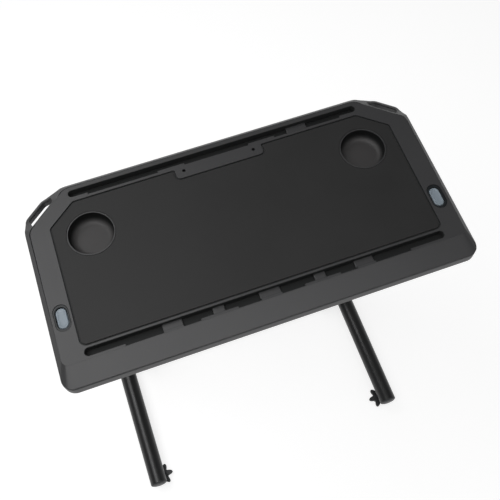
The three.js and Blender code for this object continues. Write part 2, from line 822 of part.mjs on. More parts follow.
// Guide collar that plugs into the top of the outer column
function columnCollar({ word, sign }) {
  const place = [sign * columnSpacing / 2, behind(columnSetback), outerColumnTop + seatGap];
  const bore = innerColumnRadius + slideGap;
  const plug = outerColumnRadius - outerColumnWall - seatGap;
  const brim = outerColumnRadius + collarFlange;
  const profile = [[bore, collarLip - collarHeight], [plug, collarLip - collarHeight], [plug, 0],
    [brim, 0], [brim, collarLip - collarFlange], [brim - collarFlange, collarLip],
    [bore, collarLip], [bore, collarLip - collarHeight]];
  piece(`column_collar_${word}`, turned(profile, place), "nylon");
}

function gasCylinder({ word, sign }) {
  const place = [sign * columnSpacing / 2, behind(columnSetback), 0];
  const bottom = saddleTopOfBar() + seatGap;
  const bore = cylinderRadius - cylinderWall;
  const guide = rodRadius + rodGuideClearance;
  const profile = [[0, bottom], [cylinderRadius, bottom], [cylinderRadius, cylinderTop],
    [guide, cylinderTop], [guide, cylinderTop - cylinderCap], [bore, cylinderTop - cylinderCap],
    [bore, bottom + cylinderCap], [0, bottom + cylinderCap]];
  piece(`gas_cylinder_${word}`, turned(profile, place, "z", smallSides), "steel");
}

// Piston, rod and clamping collar in one, bored at the top for the release pin
function gasRod({ word, sign }) {
  const place = [sign * columnSpacing / 2, behind(columnSetback), 0];
  const piston = cylinderRadius - cylinderWall - slideGap;
  const collarTop = headTop() - headPlate - seatGap;
  const top = below(rodTopDepth);
  const bore = pinRadius + slideGap;
  const profile = [[0, pistonBottom], [piston, pistonBottom], [piston, pistonBottom + pistonHeight],
    [rodRadius, pistonBottom + pistonHeight], [rodRadius, collarTop - rodCollarHeight],
    [rodCollarRadius, collarTop - rodCollarHeight], [rodCollarRadius, collarTop],
    [rodRadius, collarTop], [rodRadius, top], [bore, top], [bore, top - pinBoreDepth],
    [0, top - pinBoreDepth]];
  piece(`gas_rod_${word}`, turned(profile, place, "z", smallSides), "bright");
}

function releasePin({ word, sign }) {
  const place = [sign * columnSpacing / 2, behind(columnSetback), 0];
  const top = below(shaftDepth + fingerDrop + seatGap);
  piece(`release_pin_${word}`, rod(pinRadius, top - pinLength, top, place), "bright");
}

// Box-section tube between two places, open at both ends along the given axis
function boxTube(low, high, alongY) {
  const shell = block(low, high);
  const inset = alongY ? [armWall, -overrun, armWall] : [-overrun, armWall, armWall];
  const innerLow = low.map((value, i) => value + inset[i]);
  const innerHigh = high.map((value, i) => value - inset[i]);
  return cut(shell, block(innerLow, innerHigh));
}

function underframe() {
  const top = headTop();
  const reach = columnSpacing / 2 - headRadius - seatGap;
  const y = behind(columnSetback);
  piece("underframe_crossbar", boxTube([-reach, y - armWidth / 2, top - armHeight],
    [reach, y + armWidth / 2, top], false), "steel");
  for (const { word, sign } of sides) {
    const x = sign * columnSpacing / 2;
    piece(`support_arm_${word}`, boxTube([x - armWidth / 2, behind(armFront), top - armHeight],
      [x + armWidth / 2, y - headRadius - seatGap, top], true), "steel");
  }
}

function legAxis(sign) {
  return [sign * legSpacing / 2, 0, legHeight];
}

function legFront() {
  return -footprintDepth / 2 + legCapDome + seatGap;
}

function footPlace(sign) {
  return [sign * (legSpacing / 2 - footInset), behind(footSetback), 0];
}

function legTube({ word, sign }) {
  const bar = tube(legRadius, legRadius - legWall, legFront(), behind(legRear), legAxis(sign), "y");
  const bush = rod(bushRadius + seatGap, bushBottom - overrun, bushTop + seatGap, footPlace(sign));
  piece(`leg_tube_${word}`, cut(bar, bush), "steel");
}

// Domed plug in the front end of a leg
function legCap({ word, sign }) {
  const plug = legRadius - legWall - seatGap;
  const back = legFront() - seatGap;
  const profile = [];
  for (let step = 0; step <= cornerSteps; step += 1) {
    const angle = Math.PI / 2 * step / cornerSteps;
    profile.push([legRadius * Math.sin(angle), back - legCapDome * Math.cos(angle)]);
  }
  profile.push([plug, back], [plug, back + legCapPlug], [0, back + legCapPlug]);
  piece(`leg_cap_${word}`, turned(profile, legAxis(sign), "y"), "nylon");
}

function baseCrossbar() {
  const y = behind(crossbarSetback);
  const reach = legSpacing / 2;
  const bar = tube(legRadius, legRadius - legWall, -reach, reach, [0, y, legHeight], "x");
  const copes = sides.map(({ sign }) => rod(legRadius + seatGap, y - 2 * legRadius, y + 2 * legRadius,
    legAxis(sign), "y", tubeSides));
  piece("base_crossbar", cut(bar, ...copes), "steel");
}

// Casting that sits on the crossbar and holds the foot of the outer column
function columnSaddle({ word, sign }) {
  const x = sign * columnSpacing / 2;
  const y = behind(columnSetback);
  const half = saddleWidth / 2;
  const outline = rounded([[x + half, y - half, saddleEase], [x + half, y + half, saddleEase],
    [x - half, y + half, saddleEase], [x - half, y - half, saddleEase]]);
  const floor = saddleTopOfBar();
  const body = prism(outline, legHeight, floor + saddleSocket);
  const bar = rod(legRadius + seatGap, -half - overrun, half + overrun,
    [x, behind(crossbarSetback), legHeight], "x", tubeSides);
  const socket = rod(outerColumnRadius + seatGap, floor, floor + saddleSocket + overrun,
    [x, y, 0], "z", tubeSides);
  piece(`column_saddle_${word}`, cut(body, bar, socket), "steel");
}

function wheelCentre(sign) {
  return [sign * legSpacing / 2, footprintDepth / 2 - wheelRadius, wheelRadius];
}

// Fork on the rear end of a leg
function wheelBracket({ word, sign }) {
  const [x, y, z] = wheelCentre(sign);
  const inner = wheelWidth / 2 + bracketGap;
  const outer = inner + bracketPlate;
  const back = behind(legRear) + seatGap;
  const high = legHeight + bracketHeight / 2;
  const low = legHeight - bracketHeight / 2;
  const plates = [-outer, inner].map((offset) => {
    const nose = rod(bracketNose, offset, offset + bracketPlate, [x, y, z], "x", tubeSides);
    const web = block([x + offset, back, low], [x + offset + bracketPlate, y, high]);
    return join(web, nose);
  });
  const plate = block([x - outer, back, low], [x + outer, back + bracketBack, high]);
  const spigot = rod(legRadius - legWall - seatGap, back - spigotLength, back + bracketBack / 2,
    legAxis(sign), "y", tubeSides);
  const body = join(plate, ...plates, spigot);
  const bore = rod(axleRadius + seatGap, -outer - overrun, outer + overrun, [x, y, z], "x");
  piece(`wheel_bracket_${word}`, cut(body, bore), "steel");
}

function wheelAxle({ word, sign }) {
  const half = wheelWidth / 2 + bracketGap + bracketPlate + seatGap;
  const profile = [[0, -half - axleHeadHeight], [axleHeadRadius, -half - axleHeadHeight],
    [axleHeadRadius, -half], [axleRadius, -half], [axleRadius, half], [axleHeadRadius, half],
    [axleHeadRadius, half + axleHeadHeight], [0, half + axleHeadHeight]];
  piece(`wheel_axle_${word}`, turned(profile, wheelCentre(sign), "x", smallSides), "bright");
}

function wheelHub({ word, sign }) {
  const half = wheelWidth / 2;
  const bore = axleRadius + slideGap;
  const rim = hubRadius - hubRimWidth;
  const profile = [[bore, -half], [hubBossRadius, -half], [hubBossRadius, hubRecess - half],
    [rim, hubRecess - half], [rim, -half], [hubRadius, -half], [hubRadius, half], [rim, half],
    [rim, half - hubRecess], [hubBossRadius, half - hubRecess], [hubBossRadius, half],
    [bore, half], [bore, -half]];
  piece(`wheel_hub_${word}`, turned(profile, wheelCentre(sign), "x"), "nylon");
}

function wheelTyre({ word, sign }) {
  const half = wheelWidth / 2;
  const inner = hubRadius + seatGap;
  const profile = [[inner, -half], [wheelRadius - tyreCrown, -half], [wheelRadius, tyreCrown - half],
    [wheelRadius, half - tyreCrown], [wheelRadius - tyreCrown, half], [inner, half], [inner, -half]];
  piece(`wheel_tyre_${word}`, turned(profile, wheelCentre(sign), "x"), "rubber");
}

function footBush({ word, sign }) {
  piece(`foot_bush_${word}`, tube(bushRadius, studRadius + slideGap, bushBottom, bushTop,
    footPlace(sign), "z", smallSides), "steel");
}

function footStud({ word, sign }) {
  piece(`foot_stud_${word}`, rod(studRadius, padFloor + seatGap, studTop, footPlace(sign)), "bright");
}

function footPad({ word, sign }) {
  const socket = studRadius + slideGap;
  const profile = [[0, 0], [padRadius, 0], [padRadius, padHeight - padEase],
    [padRadius - padEase, padHeight], [socket, padHeight], [socket, padFloor], [0, padFloor]];
  piece(`foot_pad_${word}`, turned(profile, footPlace(sign)), "rubber");
}

// Star knob clamped on the stud
function footKnob({ word, sign }) {
  const [x, y] = footPlace(sign);
  const star = (inset) => Array.from({ length: knobPoints }, (_, i) => {
    const angle = 2 * Math.PI * i / knobPoints;
    const radius = knobRadius - inset + knobLobe * Math.cos(knobLobes * angle);
    return new THREE.Vector2(x + radius * Math.cos(angle), y + radius * Math.sin(angle));
  });
  const top = knobBottom + knobHeight;
  const body = loft([
    { ring: star(knobEase), z: knobBottom },
    { ring: star(0), z: knobBottom + knobEase },
    { ring: star(0), z: top - knobEase },
    { ring: star(knobEase), z: top },
  ]);
  const bore = rod(studRadius + seatGap, knobBottom - overrun, top + overrun, [x, y, 0]);
  piece(`foot_knob_${word}`, cut(body, bore), "nylon");
}

topShell();
bottomShell();
workMat();
slotLiner("front_slot_liner", frontSlot);
slotLiner("rear_slot_liner", rearSlot);
underframe();
baseCrossbar();
const paired = [
  cupWell, buttonBezel, button, buttonSpring, releaseRocker, releaseShaft, releasePin,
  columnHead, innerColumn, columnGlide, gasRod, gasCylinder, outerColumn, columnCollar,
  columnSaddle, legTube, legCap, wheelBracket, wheelAxle, wheelHub, wheelTyre,
  footBush, footStud, footPad, footKnob,
];
for (const build of paired) {
  sides.forEach(build);
}

export default desk;
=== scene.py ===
"""Visual model of a height-adjustable desk for indoor cycling.

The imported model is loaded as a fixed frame. Each sub-assembly is a class that holds its sizes in
millimetres, builds finer meshes in the places that the frame gives, and dresses them. A place in the
top is measured from the work mat's front edge and from the top face.
"""

import bpy
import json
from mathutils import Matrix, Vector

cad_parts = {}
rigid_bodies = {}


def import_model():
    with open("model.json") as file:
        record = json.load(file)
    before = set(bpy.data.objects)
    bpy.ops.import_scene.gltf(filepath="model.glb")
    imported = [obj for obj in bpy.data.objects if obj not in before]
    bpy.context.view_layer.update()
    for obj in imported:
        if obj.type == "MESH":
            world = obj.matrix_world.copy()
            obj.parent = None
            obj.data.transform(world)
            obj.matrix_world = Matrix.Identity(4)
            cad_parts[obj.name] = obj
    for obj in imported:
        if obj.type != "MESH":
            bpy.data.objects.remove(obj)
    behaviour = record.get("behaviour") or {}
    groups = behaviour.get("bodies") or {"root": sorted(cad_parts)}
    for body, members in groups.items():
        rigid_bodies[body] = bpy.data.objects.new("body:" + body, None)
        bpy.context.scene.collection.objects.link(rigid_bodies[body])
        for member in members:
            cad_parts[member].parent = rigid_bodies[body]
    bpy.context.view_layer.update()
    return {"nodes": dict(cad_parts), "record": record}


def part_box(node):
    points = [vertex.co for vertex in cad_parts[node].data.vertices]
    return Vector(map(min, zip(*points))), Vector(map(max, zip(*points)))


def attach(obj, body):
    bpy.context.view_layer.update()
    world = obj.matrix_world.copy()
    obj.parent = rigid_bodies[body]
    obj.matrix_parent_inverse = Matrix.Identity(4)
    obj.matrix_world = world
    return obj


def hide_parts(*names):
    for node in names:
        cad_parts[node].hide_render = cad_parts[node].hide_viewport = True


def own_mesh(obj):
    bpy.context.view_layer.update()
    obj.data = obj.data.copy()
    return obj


for leftover in list(bpy.data.objects):
    bpy.data.objects.remove(leftover)
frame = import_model()

import json
import logging
import math
from dataclasses import dataclass, field
from enum import Enum
from typing import Iterable, Sequence

import bmesh
from mathutils import Matrix, Vector

logging.basicConfig(level=logging.INFO, format="%(message)s")
log = logging.getLogger("desk")

MM = 0.001
MERGE = 1e-6
NOISE_LOW, NOISE_HIGH = 0.3, 0.7
EASE_FACETS = 2
SIDES = (("left", -1), ("right", 1))
Point = tuple[float, float]
Corner = tuple[float, float, float]
Ring = list[Point]


class Axis(Enum):
    """The line that a turned piece is turned about, with the matrix that lays +Z along it."""

    X = Matrix(((0, 0, 1), (1, 0, 0), (0, 1, 0))).to_4x4()
    Y = Matrix(((0, -1, 0), (0, 0, 1), (-1, 0, 0))).to_4x4()
    Z = Matrix.Identity(4)


class Finish(Enum):
    """The record's material slots."""

    SHELL = "shell"
    LOWER = "lower"
    MAT = "mat"
    WELL = "well"
    LINER = "liner"
    BUTTON = "button"
    BEZEL = "bezel"
    STEEL = "steel"
    BRIGHT = "bright"
    NYLON = "nylon"
    RUBBER = "rubber"


def linear(hex_colour: str) -> tuple[float, float, float, float]:
    """Turns an sRGB hex colour to linear values.

    Args:
        hex_colour: Six hex digits, such as "3a3a3b".

    Returns:
        Red, green, blue and an alpha of 1.
    """
    values = [int(hex_colour[i:i + 2], 16) / 255 for i in (0, 2, 4)]
    red, green, blue = (v / 12.92 if v <= 0.04045 else ((v + 0.055) / 1.055) ** 2.4 for v in values)
    return red, green, blue, 1.0


def add_node(tree: bpy.types.NodeTree, kind: str, settings: dict | None = None,
             links: dict | None = None) -> bpy.types.Node:
    """Adds a node to a tree.

    Args:
        tree: The tree that takes the node.
        kind: The node's type name.
        settings: Values by property name, or by socket name or index.
        links: The output socket that feeds each input, by socket name or index.

    Returns:
        The new node.
    """
    node = tree.nodes.new(kind)
    for key, value in (settings or {}).items():
        if isinstance(key, str) and hasattr(node, key):
            setattr(node, key, value)
        else:
            node.inputs[key].default_value = value
    for key, socket in (links or {}).items():
        tree.links.new(socket, node.inputs[key])
    return node


@dataclass(frozen=True)
class Surface:
    """A material that starts from a real one: its colour, gloss, grain and small unevenness.

    The grain is a bump of a real size in millimetres. Mottle is a slow change of colour and gloss,
    as moulding flow, handling and dust leave on a real surface. The floor of a hollow can take its own
    colour, which fades into the walls' over a band of heights in millimetres above the ground: painted
    shade, so that the walls or the floor of a hollow stand darker for the shade that falls inside it.
    """

    name: str
    colour: str
    roughness: float
    metallic: float = 0.0
    grain: float = 0.6
    grain_height: float = 0.02
    mottle: float = 0.06
    mottle_size: float = 60.0
    stretch: tuple[float, float, float] = (1.0, 1.0, 1.0)
    cells: bool = False
    coat: float = 0.0
    sheen: float = 0.0
    specular: float = 0.5
    worn: str = ""
    floor: str = ""
    painted_shade_band: Point = (0.0, 0.0)

    def build(self) -> bpy.types.Material:
        """Makes the material's nodes.

        Returns:
            The material.
        """
        material = bpy.data.materials.new(self.name)
        material.use_nodes = True
        tree = material.node_tree
        tree.nodes.clear()
        place = add_node(tree, "ShaderNodeTexCoord").outputs["Object"]
        stretched = add_node(tree, "ShaderNodeMapping", {"Scale": self.stretch}, {"Vector": place})
        if self.cells:
            grain = add_node(tree, "ShaderNodeTexVoronoi", {"Scale": 1 / (self.grain * MM)},
                             {"Vector": stretched.outputs[0]}).outputs["Distance"]
        else:
            grain = add_node(tree, "ShaderNodeTexNoise", {"Scale": 1 / (self.grain * MM), "Detail": 3.0},
                             {"Vector": stretched.outputs[0]}).outputs[0]
        bump = add_node(tree, "ShaderNodeBump", {"Strength": 1.0, "Distance": self.grain_height * MM},
                        {"Height": grain})
        slow = add_node(tree, "ShaderNodeTexNoise", {"Scale": 1 / (self.mottle_size * MM), "Detail": 5.0},
                        {"Vector": place}).outputs[0]
        shade = add_node(tree, "ShaderNodeMapRange",
                         {3: 1 - self.mottle, 4: 1 + self.mottle, 1: NOISE_LOW, 2: NOISE_HIGH}, {0: slow})
        colour = add_node(tree, "ShaderNodeMix", {"data_type": "RGBA", "blend_type": "MULTIPLY",
                                                  0: 1.0, 6: linear(self.colour)},
                          {7: shade.outputs[0]}).outputs[2]
        # Painted shade: colour by height makes a hollow's walls or floor darker, for shade inside it.
        if self.floor:
            height = add_node(tree, "ShaderNodeSeparateXYZ", links={0: place}).outputs[2]
            bottom, top = self.painted_shade_band
            low = add_node(tree, "ShaderNodeMapRange",
                           {"interpolation_type": "SMOOTHSTEP", 1: top * MM, 2: bottom * MM},
                           {0: height}).outputs[0]
            colour = add_node(tree, "ShaderNodeMix", {"data_type": "RGBA", 7: linear(self.floor)},
                              {0: low, 6: colour}).outputs[2]
        if self.worn:
            edge = self.wear(tree, slow)
            colour = add_node(tree, "ShaderNodeMix", {"data_type": "RGBA", 7: linear(self.worn)},
                              {0: edge, 6: colour}).outputs[2]
        gloss = add_node(tree, "ShaderNodeMapRange",
                         {3: self.roughness - self.mottle / 2, 4: self.roughness + self.mottle / 2,
                          1: NOISE_LOW, 2: NOISE_HIGH}, {0: slow})
        shader = add_node(tree, "ShaderNodeBsdfPrincipled",
                          {"Metallic": self.metallic, "Coat Weight": self.coat,
                           "Coat Roughness": 0.25, "Sheen Weight": self.sheen, "Sheen Roughness": 0.5,
                           "Specular IOR Level": self.specular},
                          {"Base Color": colour, "Roughness": gloss.outputs[0],
                           "Normal": bump.outputs[0]})
        add_node(tree, "ShaderNodeOutputMaterial", links={"Surface": shader.outputs[0]})
        return material

    def wear(self, tree: bpy.types.NodeTree, slow: bpy.types.NodeSocket) -> bpy.types.NodeSocket:
        """Finds the edges that hands and floors rub.

        Args:
            tree: The material's tree.
            slow: The slow noise that breaks the wear up.

        Returns:
            A factor that is 1 on a worn edge.
        """
        point = add_node(tree, "ShaderNodeNewGeometry").outputs["Pointiness"]
        edge = add_node(tree, "ShaderNodeMapRange", {1: 0.53, 2: 0.6, 3: 0.0, 4: 0.35}, {0: point})
        return add_node(tree, "ShaderNodeMath", {"operation": "MULTIPLY"},
                        {0: edge.outputs[0], 1: slow}).outputs[0]


# Injection-moulded ABS with a fine spark-eroded grain: satin, with a broad soft shine
MOULDED_ABS = Surface("moulded_abs_deck", "2c2c2d", 0.44, grain=0.7, grain_height=0.012, mottle=0.04,
                      mottle_size=140, specular=0.36)
# The same resin from a rougher tool, a little duller
LOWER_ABS = Surface("moulded_abs_tray", "363637", 0.5, grain=0.9, grain_height=0.02, mottle=0.05,
                    specular=0.45)
# Calendered nitrile rubber sheet: nearly matt, with a fine pebbled face
NITRILE_MAT = Surface("nitrile_rubber_sheet", "232323", 0.52, grain=1.1, grain_height=0.03, mottle=0.05,
                      mottle_size=90, cells=True, specular=0.17)
# Matt polypropylene cup: its walls are painted darker than its floor, painted shade deep in the well
CUP_POLYPROPYLENE = Surface("matt_polypropylene_cup", "101111", 0.5, grain=1.2, grain_height=0.008,
                            mottle=0.05, specular=0.25, floor="302f2f", painted_shade_band=(1021.5, 1030.0))
# Dull polypropylene trough: its darker floor is painted shade that evens out the light falling into the
# slot
TROUGH_POLYPROPYLENE = Surface("dull_polypropylene_trough", "262727", 0.6, grain=0.8, grain_height=0.02,
                               specular=0.15, floor="0e0f0f", painted_shade_band=(1029.5, 1034.0))
# Blue-grey silicone-painted ABS, soft to the touch
SOFT_TOUCH_BLUE = Surface("soft_touch_blue_grey", "6b757d", 0.5, grain=0.5, grain_height=0.008,
                          mottle=0.03, mottle_size=25, sheen=0.1)
# Glossy black polycarbonate frame of each button
GLOSS_POLYCARBONATE = Surface("black_polycarbonate", "141719", 0.36, grain=1.5, grain_height=0.004,
                              mottle=0.03, specular=0.25)
# Black polyester powder coat on drawn steel tube: slight orange peel under a satin shine
POWDER_COAT = Surface("black_powder_coat", "0c0d0e", 0.37, grain=1.6, grain_height=0.02, mottle=0.05,
                      mottle_size=80, coat=0.05, specular=0.46, worn="3a3b3c")
# Ground and zinc-plated steel, brushed along its length
ZINC_STEEL = Surface("ground_zinc_plated_steel", "a9adb2", 0.3, metallic=1.0, grain=0.5,
                     grain_height=0.01, mottle=0.08, mottle_size=20, stretch=(1.0, 1.0, 0.08))
# Glass-filled nylon: faint flow marks and a dry sheen
GLASS_NYLON = Surface("glass_filled_nylon", "222426", 0.48, grain=0.9, grain_height=0.03, mottle=0.1,
                      mottle_size=15, worn="3a3b3d")
# Vulcanised tyre and foot rubber, dusty and dull
VULCANISED_RUBBER = Surface("vulcanised_rubber", "1a1a1b", 0.78, grain=0.8, grain_height=0.04,
                            mottle=0.12, mottle_size=12, sheen=0.12, worn="39383a")

SURFACES = {
    Finish.SHELL: MOULDED_ABS, Finish.LOWER: LOWER_ABS, Finish.MAT: NITRILE_MAT,
    Finish.WELL: CUP_POLYPROPYLENE, Finish.LINER: TROUGH_POLYPROPYLENE, Finish.BUTTON: SOFT_TOUCH_BLUE,
    Finish.BEZEL: GLOSS_POLYCARBONATE, Finish.STEEL: POWDER_COAT, Finish.BRIGHT: ZINC_STEEL,
    Finish.NYLON: GLASS_NYLON, Finish.RUBBER: VULCANISED_RUBBER,
}


class Wardrobe:
    """Holds one built material for each finish."""

    def __init__(self) -> None:
        """Builds every material once."""
        self.materials = {finish: surface.build() for finish, surface in SURFACES.items()}

    def dress(self, piece: bpy.types.Object, finish: Finish) -> None:
        """Gives a piece one material.

        Args:
            piece: The object to dress.
            finish: Its finish.
        """
        piece.data.materials.clear()
        piece.data.materials.append(self.materials[finish])


# Outlines

def conic(start: Vector, corner: Vector, end: Vector, steps: int) -> list[Vector]:
    """Rounds one corner by an arc.

    Args:
        start: Where the arc leaves the first side.
        corner: The sharp corner.
        end: Where the arc meets the next side.
        steps: Number of facets.

    Returns:
        The arc's points, both ends included.
    """
    first, second = corner - start, end - corner
    turn = first.angle(second, 0.0) if first.length and second.length else 0.0
    weight = math.cos(turn / 2)
    points = []
    for step in range(steps + 1):
        t = step / steps
        shares = ((1 - t) ** 2, 2 * t * (1 - t) * weight, t ** 2)
        points.append((start * shares[0] + corner * shares[1] + end * shares[2]) / sum(shares))
    return points


def rounded(corners: Sequence[Corner], steps: int = 12) -> Ring:
    """Rounds the corners of a closed outline.

    Args:
        corners: X, Y and the setback of each arc from its corner.
        steps: Facets of each arc.

    Returns:
        The outline's points.
    """
    ring: Ring = []
    for index, (x, y, setback) in enumerate(corners):
        corner = Vector((x, y))
        before = Vector(corners[index - 1][:2])
        after = Vector(corners[(index + 1) % len(corners)][:2])
        start = corner - (corner - before).normalized() * setback
        end = corner + (after - corner).normalized() * setback
        ring.extend((p.x, p.y) for p in conic(start, corner, end, steps))
    return ring


def symmetric(corners: Sequence[Corner]) -> Ring:
    """Completes the right half of an outline, front to rear, with its mirror image."""
    return rounded([*corners, *((-x, y, s) for x, y, s in reversed(corners))])


def profile(corners: Sequence[Corner], steps: int = 4) -> Ring:
    """Rounds the inner corners of an open profile of radius and height.

    Args:
        corners: Radius, height and the setback of each arc; the two ends stay sharp.
        steps: Facets of each arc.

    Returns:
        The profile's points.
    """
    ring: Ring = [corners[0][:2]]
    for before, here, after in zip(corners, corners[1:], corners[2:]):
        corner = Vector(here[:2])
        if here[2] <= 0:
            ring.append(here[:2])
            continue
        start = corner - (corner - Vector(before[:2])).normalized() * here[2]
        end = corner + (Vector(after[:2]) - corner).normalized() * here[2]
        ring.extend((p.x, p.y) for p in conic(start, corner, end, steps))
    ring.append(corners[-1][:2])
    return ring


def mirrored(corners: Sequence[Corner]) -> list[Corner]:
    """Completes the lower half of a profile with its mirror image."""
    return [*corners, *((radius, -height, s) for radius, height, s in reversed(corners))]


def stadium(x: float, y: float, width: float, length: float) -> Ring:
    """Makes an outline with round ends, long along Y."""
    w, h = width / 2, length / 2
    return rounded([(x + w, y - h, w), (x + w, y + h, w), (x - w, y + h, w), (x - w, y - h, w)], 14)


def ramp(value: float, start: float, end: float) -> float:
    """Goes smoothly from 0 at the start to 1 at the end."""
    share = min(max((value - start) / (end - start), 0.0), 1.0)
    return share * share * (3 - 2 * share)


# Meshes

def to_mesh(name: str, vertices: Iterable[Vector], faces: Iterable[Sequence[int]]) -> bpy.types.Mesh:
    """Makes a clean mesh in metres from places in millimetres.

    Args:
        name: The mesh's name.
        vertices: Places in millimetres.
        faces: Vertex numbers of each face.

    Returns:
        A mesh with doubles merged and its faces pointing outwards.
    """
    mesh = bpy.data.meshes.new(name)
    mesh.from_pydata([Vector(v) * MM for v in vertices], [], list(faces))
    shape = bmesh.new()
    shape.from_mesh(mesh)
    bmesh.ops.remove_doubles(shape, verts=shape.verts, dist=MERGE)
    bmesh.ops.dissolve_degenerate(shape, edges=shape.edges, dist=MERGE)
    bmesh.ops.recalc_face_normals(shape, faces=shape.faces)
    shape.to_mesh(mesh)
    shape.free()
    return mesh


def skin(name: str, rings: Sequence[Sequence[Vector]], closed: bool = False) -> bpy.types.Mesh:
    """Skins rings of equal point counts.

    Args:
        name: The mesh's name.
        rings: Each ring's points in millimetres.
        closed: Whether the last ring meets the first; if not, both ends are capped.

    Returns:
        The skinned mesh.
    """
    count, levels = len(rings[0]), len(rings)
    faces = []
    for level in range(levels if closed else levels - 1):
        here, there = level * count, (level + 1) % levels * count
        for i in range(count):
            j = (i + 1) % count
            faces.append((here + i, here + j, there + j, there + i))
    if not closed:
        faces.append(tuple(reversed(range(count))))
        faces.append(tuple(range(count * (levels - 1), count * levels)))
    return to_mesh(name, [point for ring in rings for point in ring], faces)


def loft(name: str, levels: Sequence[tuple[Ring, float]], closed: bool = False) -> bpy.types.Mesh:
    """Skins level rings, each an outline and a height, lowest first."""
    return skin(name, [[Vector((x, y, z)) for x, y in ring] for ring, z in levels], closed)


def turned(name: str, outline: Ring, place: Sequence[float], axis: Axis = Axis.Z,
           steps: int = 64) -> bpy.types.Mesh:
    """Turns a profile of radius and height about an axis.

    Args:
        name: The mesh's name.
        outline: The profile, open from axis to axis, or closed on itself.
        place: Where its origin lies, in millimetres.
        axis: The line it is turned about.
        steps: Facets round it.

    Returns:
        The turned mesh.
    """
    closed = outline[0] == outline[-1]
    points = outline[:-1] if closed else outline
    count = len(points)
    move = Matrix.Translation(Vector(place)) @ axis.value
    vertices = []
    for step in range(steps):
        angle = 2 * math.pi * step / steps
        for radius, height in points:
            vertices.append(move @ Vector((radius * math.cos(angle), radius * math.sin(angle), height)))
    faces = []
    for step in range(steps):
        here, there = step * count, (step + 1) % steps * count
        for i in range(count if closed else count - 1):
            j = (i + 1) % count
            faces.append((here + i, there + i, there + j, here + j))
    return to_mesh(name, vertices, faces)


def pipe(name: str, outer: float, inner: float, low: float, high: float, place: Sequence[float],
         axis: Axis = Axis.Z, ease: float = 0.4) -> bpy.types.Mesh:
    """Makes a straight tube with eased rims.

    Args:
        name: The mesh's name.
        outer: Its outer radius.
        inner: Its inner radius.
        low: Where it starts along its axis.
        high: Where it ends.
        place: Where the axis starts, in millimetres.
        axis: The line it runs along.
        ease: Setback of the rims' rounding.

    Returns:
        The tube.
    """
    half = (outer + inner) / 2
    corners = [(half, low, 0), (outer, low, ease), (outer, high, ease), (inner, high, ease),
               (inner, low, ease), (half, low, 0)]
    return turned(name, profile(corners), place, axis)


def rod(name: str, radius: float, low: float, high: float, place: Sequence[float],
        axis: Axis = Axis.Z, steps: int = 64) -> bpy.types.Mesh:
    """Makes a plain cylinder that drills or joins."""
    return turned(name, [(0, low), (radius, low), (radius, high), (0, high)], place, axis, steps)


def box_mesh(name: str, low: Sequence[float], high: Sequence[float]) -> bpy.types.Mesh:
    """Makes a box.

    Args:
        name: The mesh's name.
        low: Its lowest corner in millimetres.
        high: Its highest corner.

    Returns:
        The box.
    """
    (x0, y0, z0), (x1, y1, z1) = low, high
    ring = [(x0, y0), (x1, y0), (x1, y1), (x0, y1)]
    return loft(name, [(ring, z0), (ring, z1)])


def joined(name: str, meshes: Sequence[bpy.types.Mesh]) -> bpy.types.Mesh:
    """Puts several meshes side by side into one.

    Args:
        name: The new mesh's name.
        meshes: The meshes, which are used up.

    Returns:
        The joined mesh.
    """
    shape = bmesh.new()
    for mesh in meshes:
        shape.from_mesh(mesh)
        bpy.data.meshes.remove(mesh)
    whole = bpy.data.meshes.new(name)
    shape.to_mesh(whole)
    shape.free()
    return whole


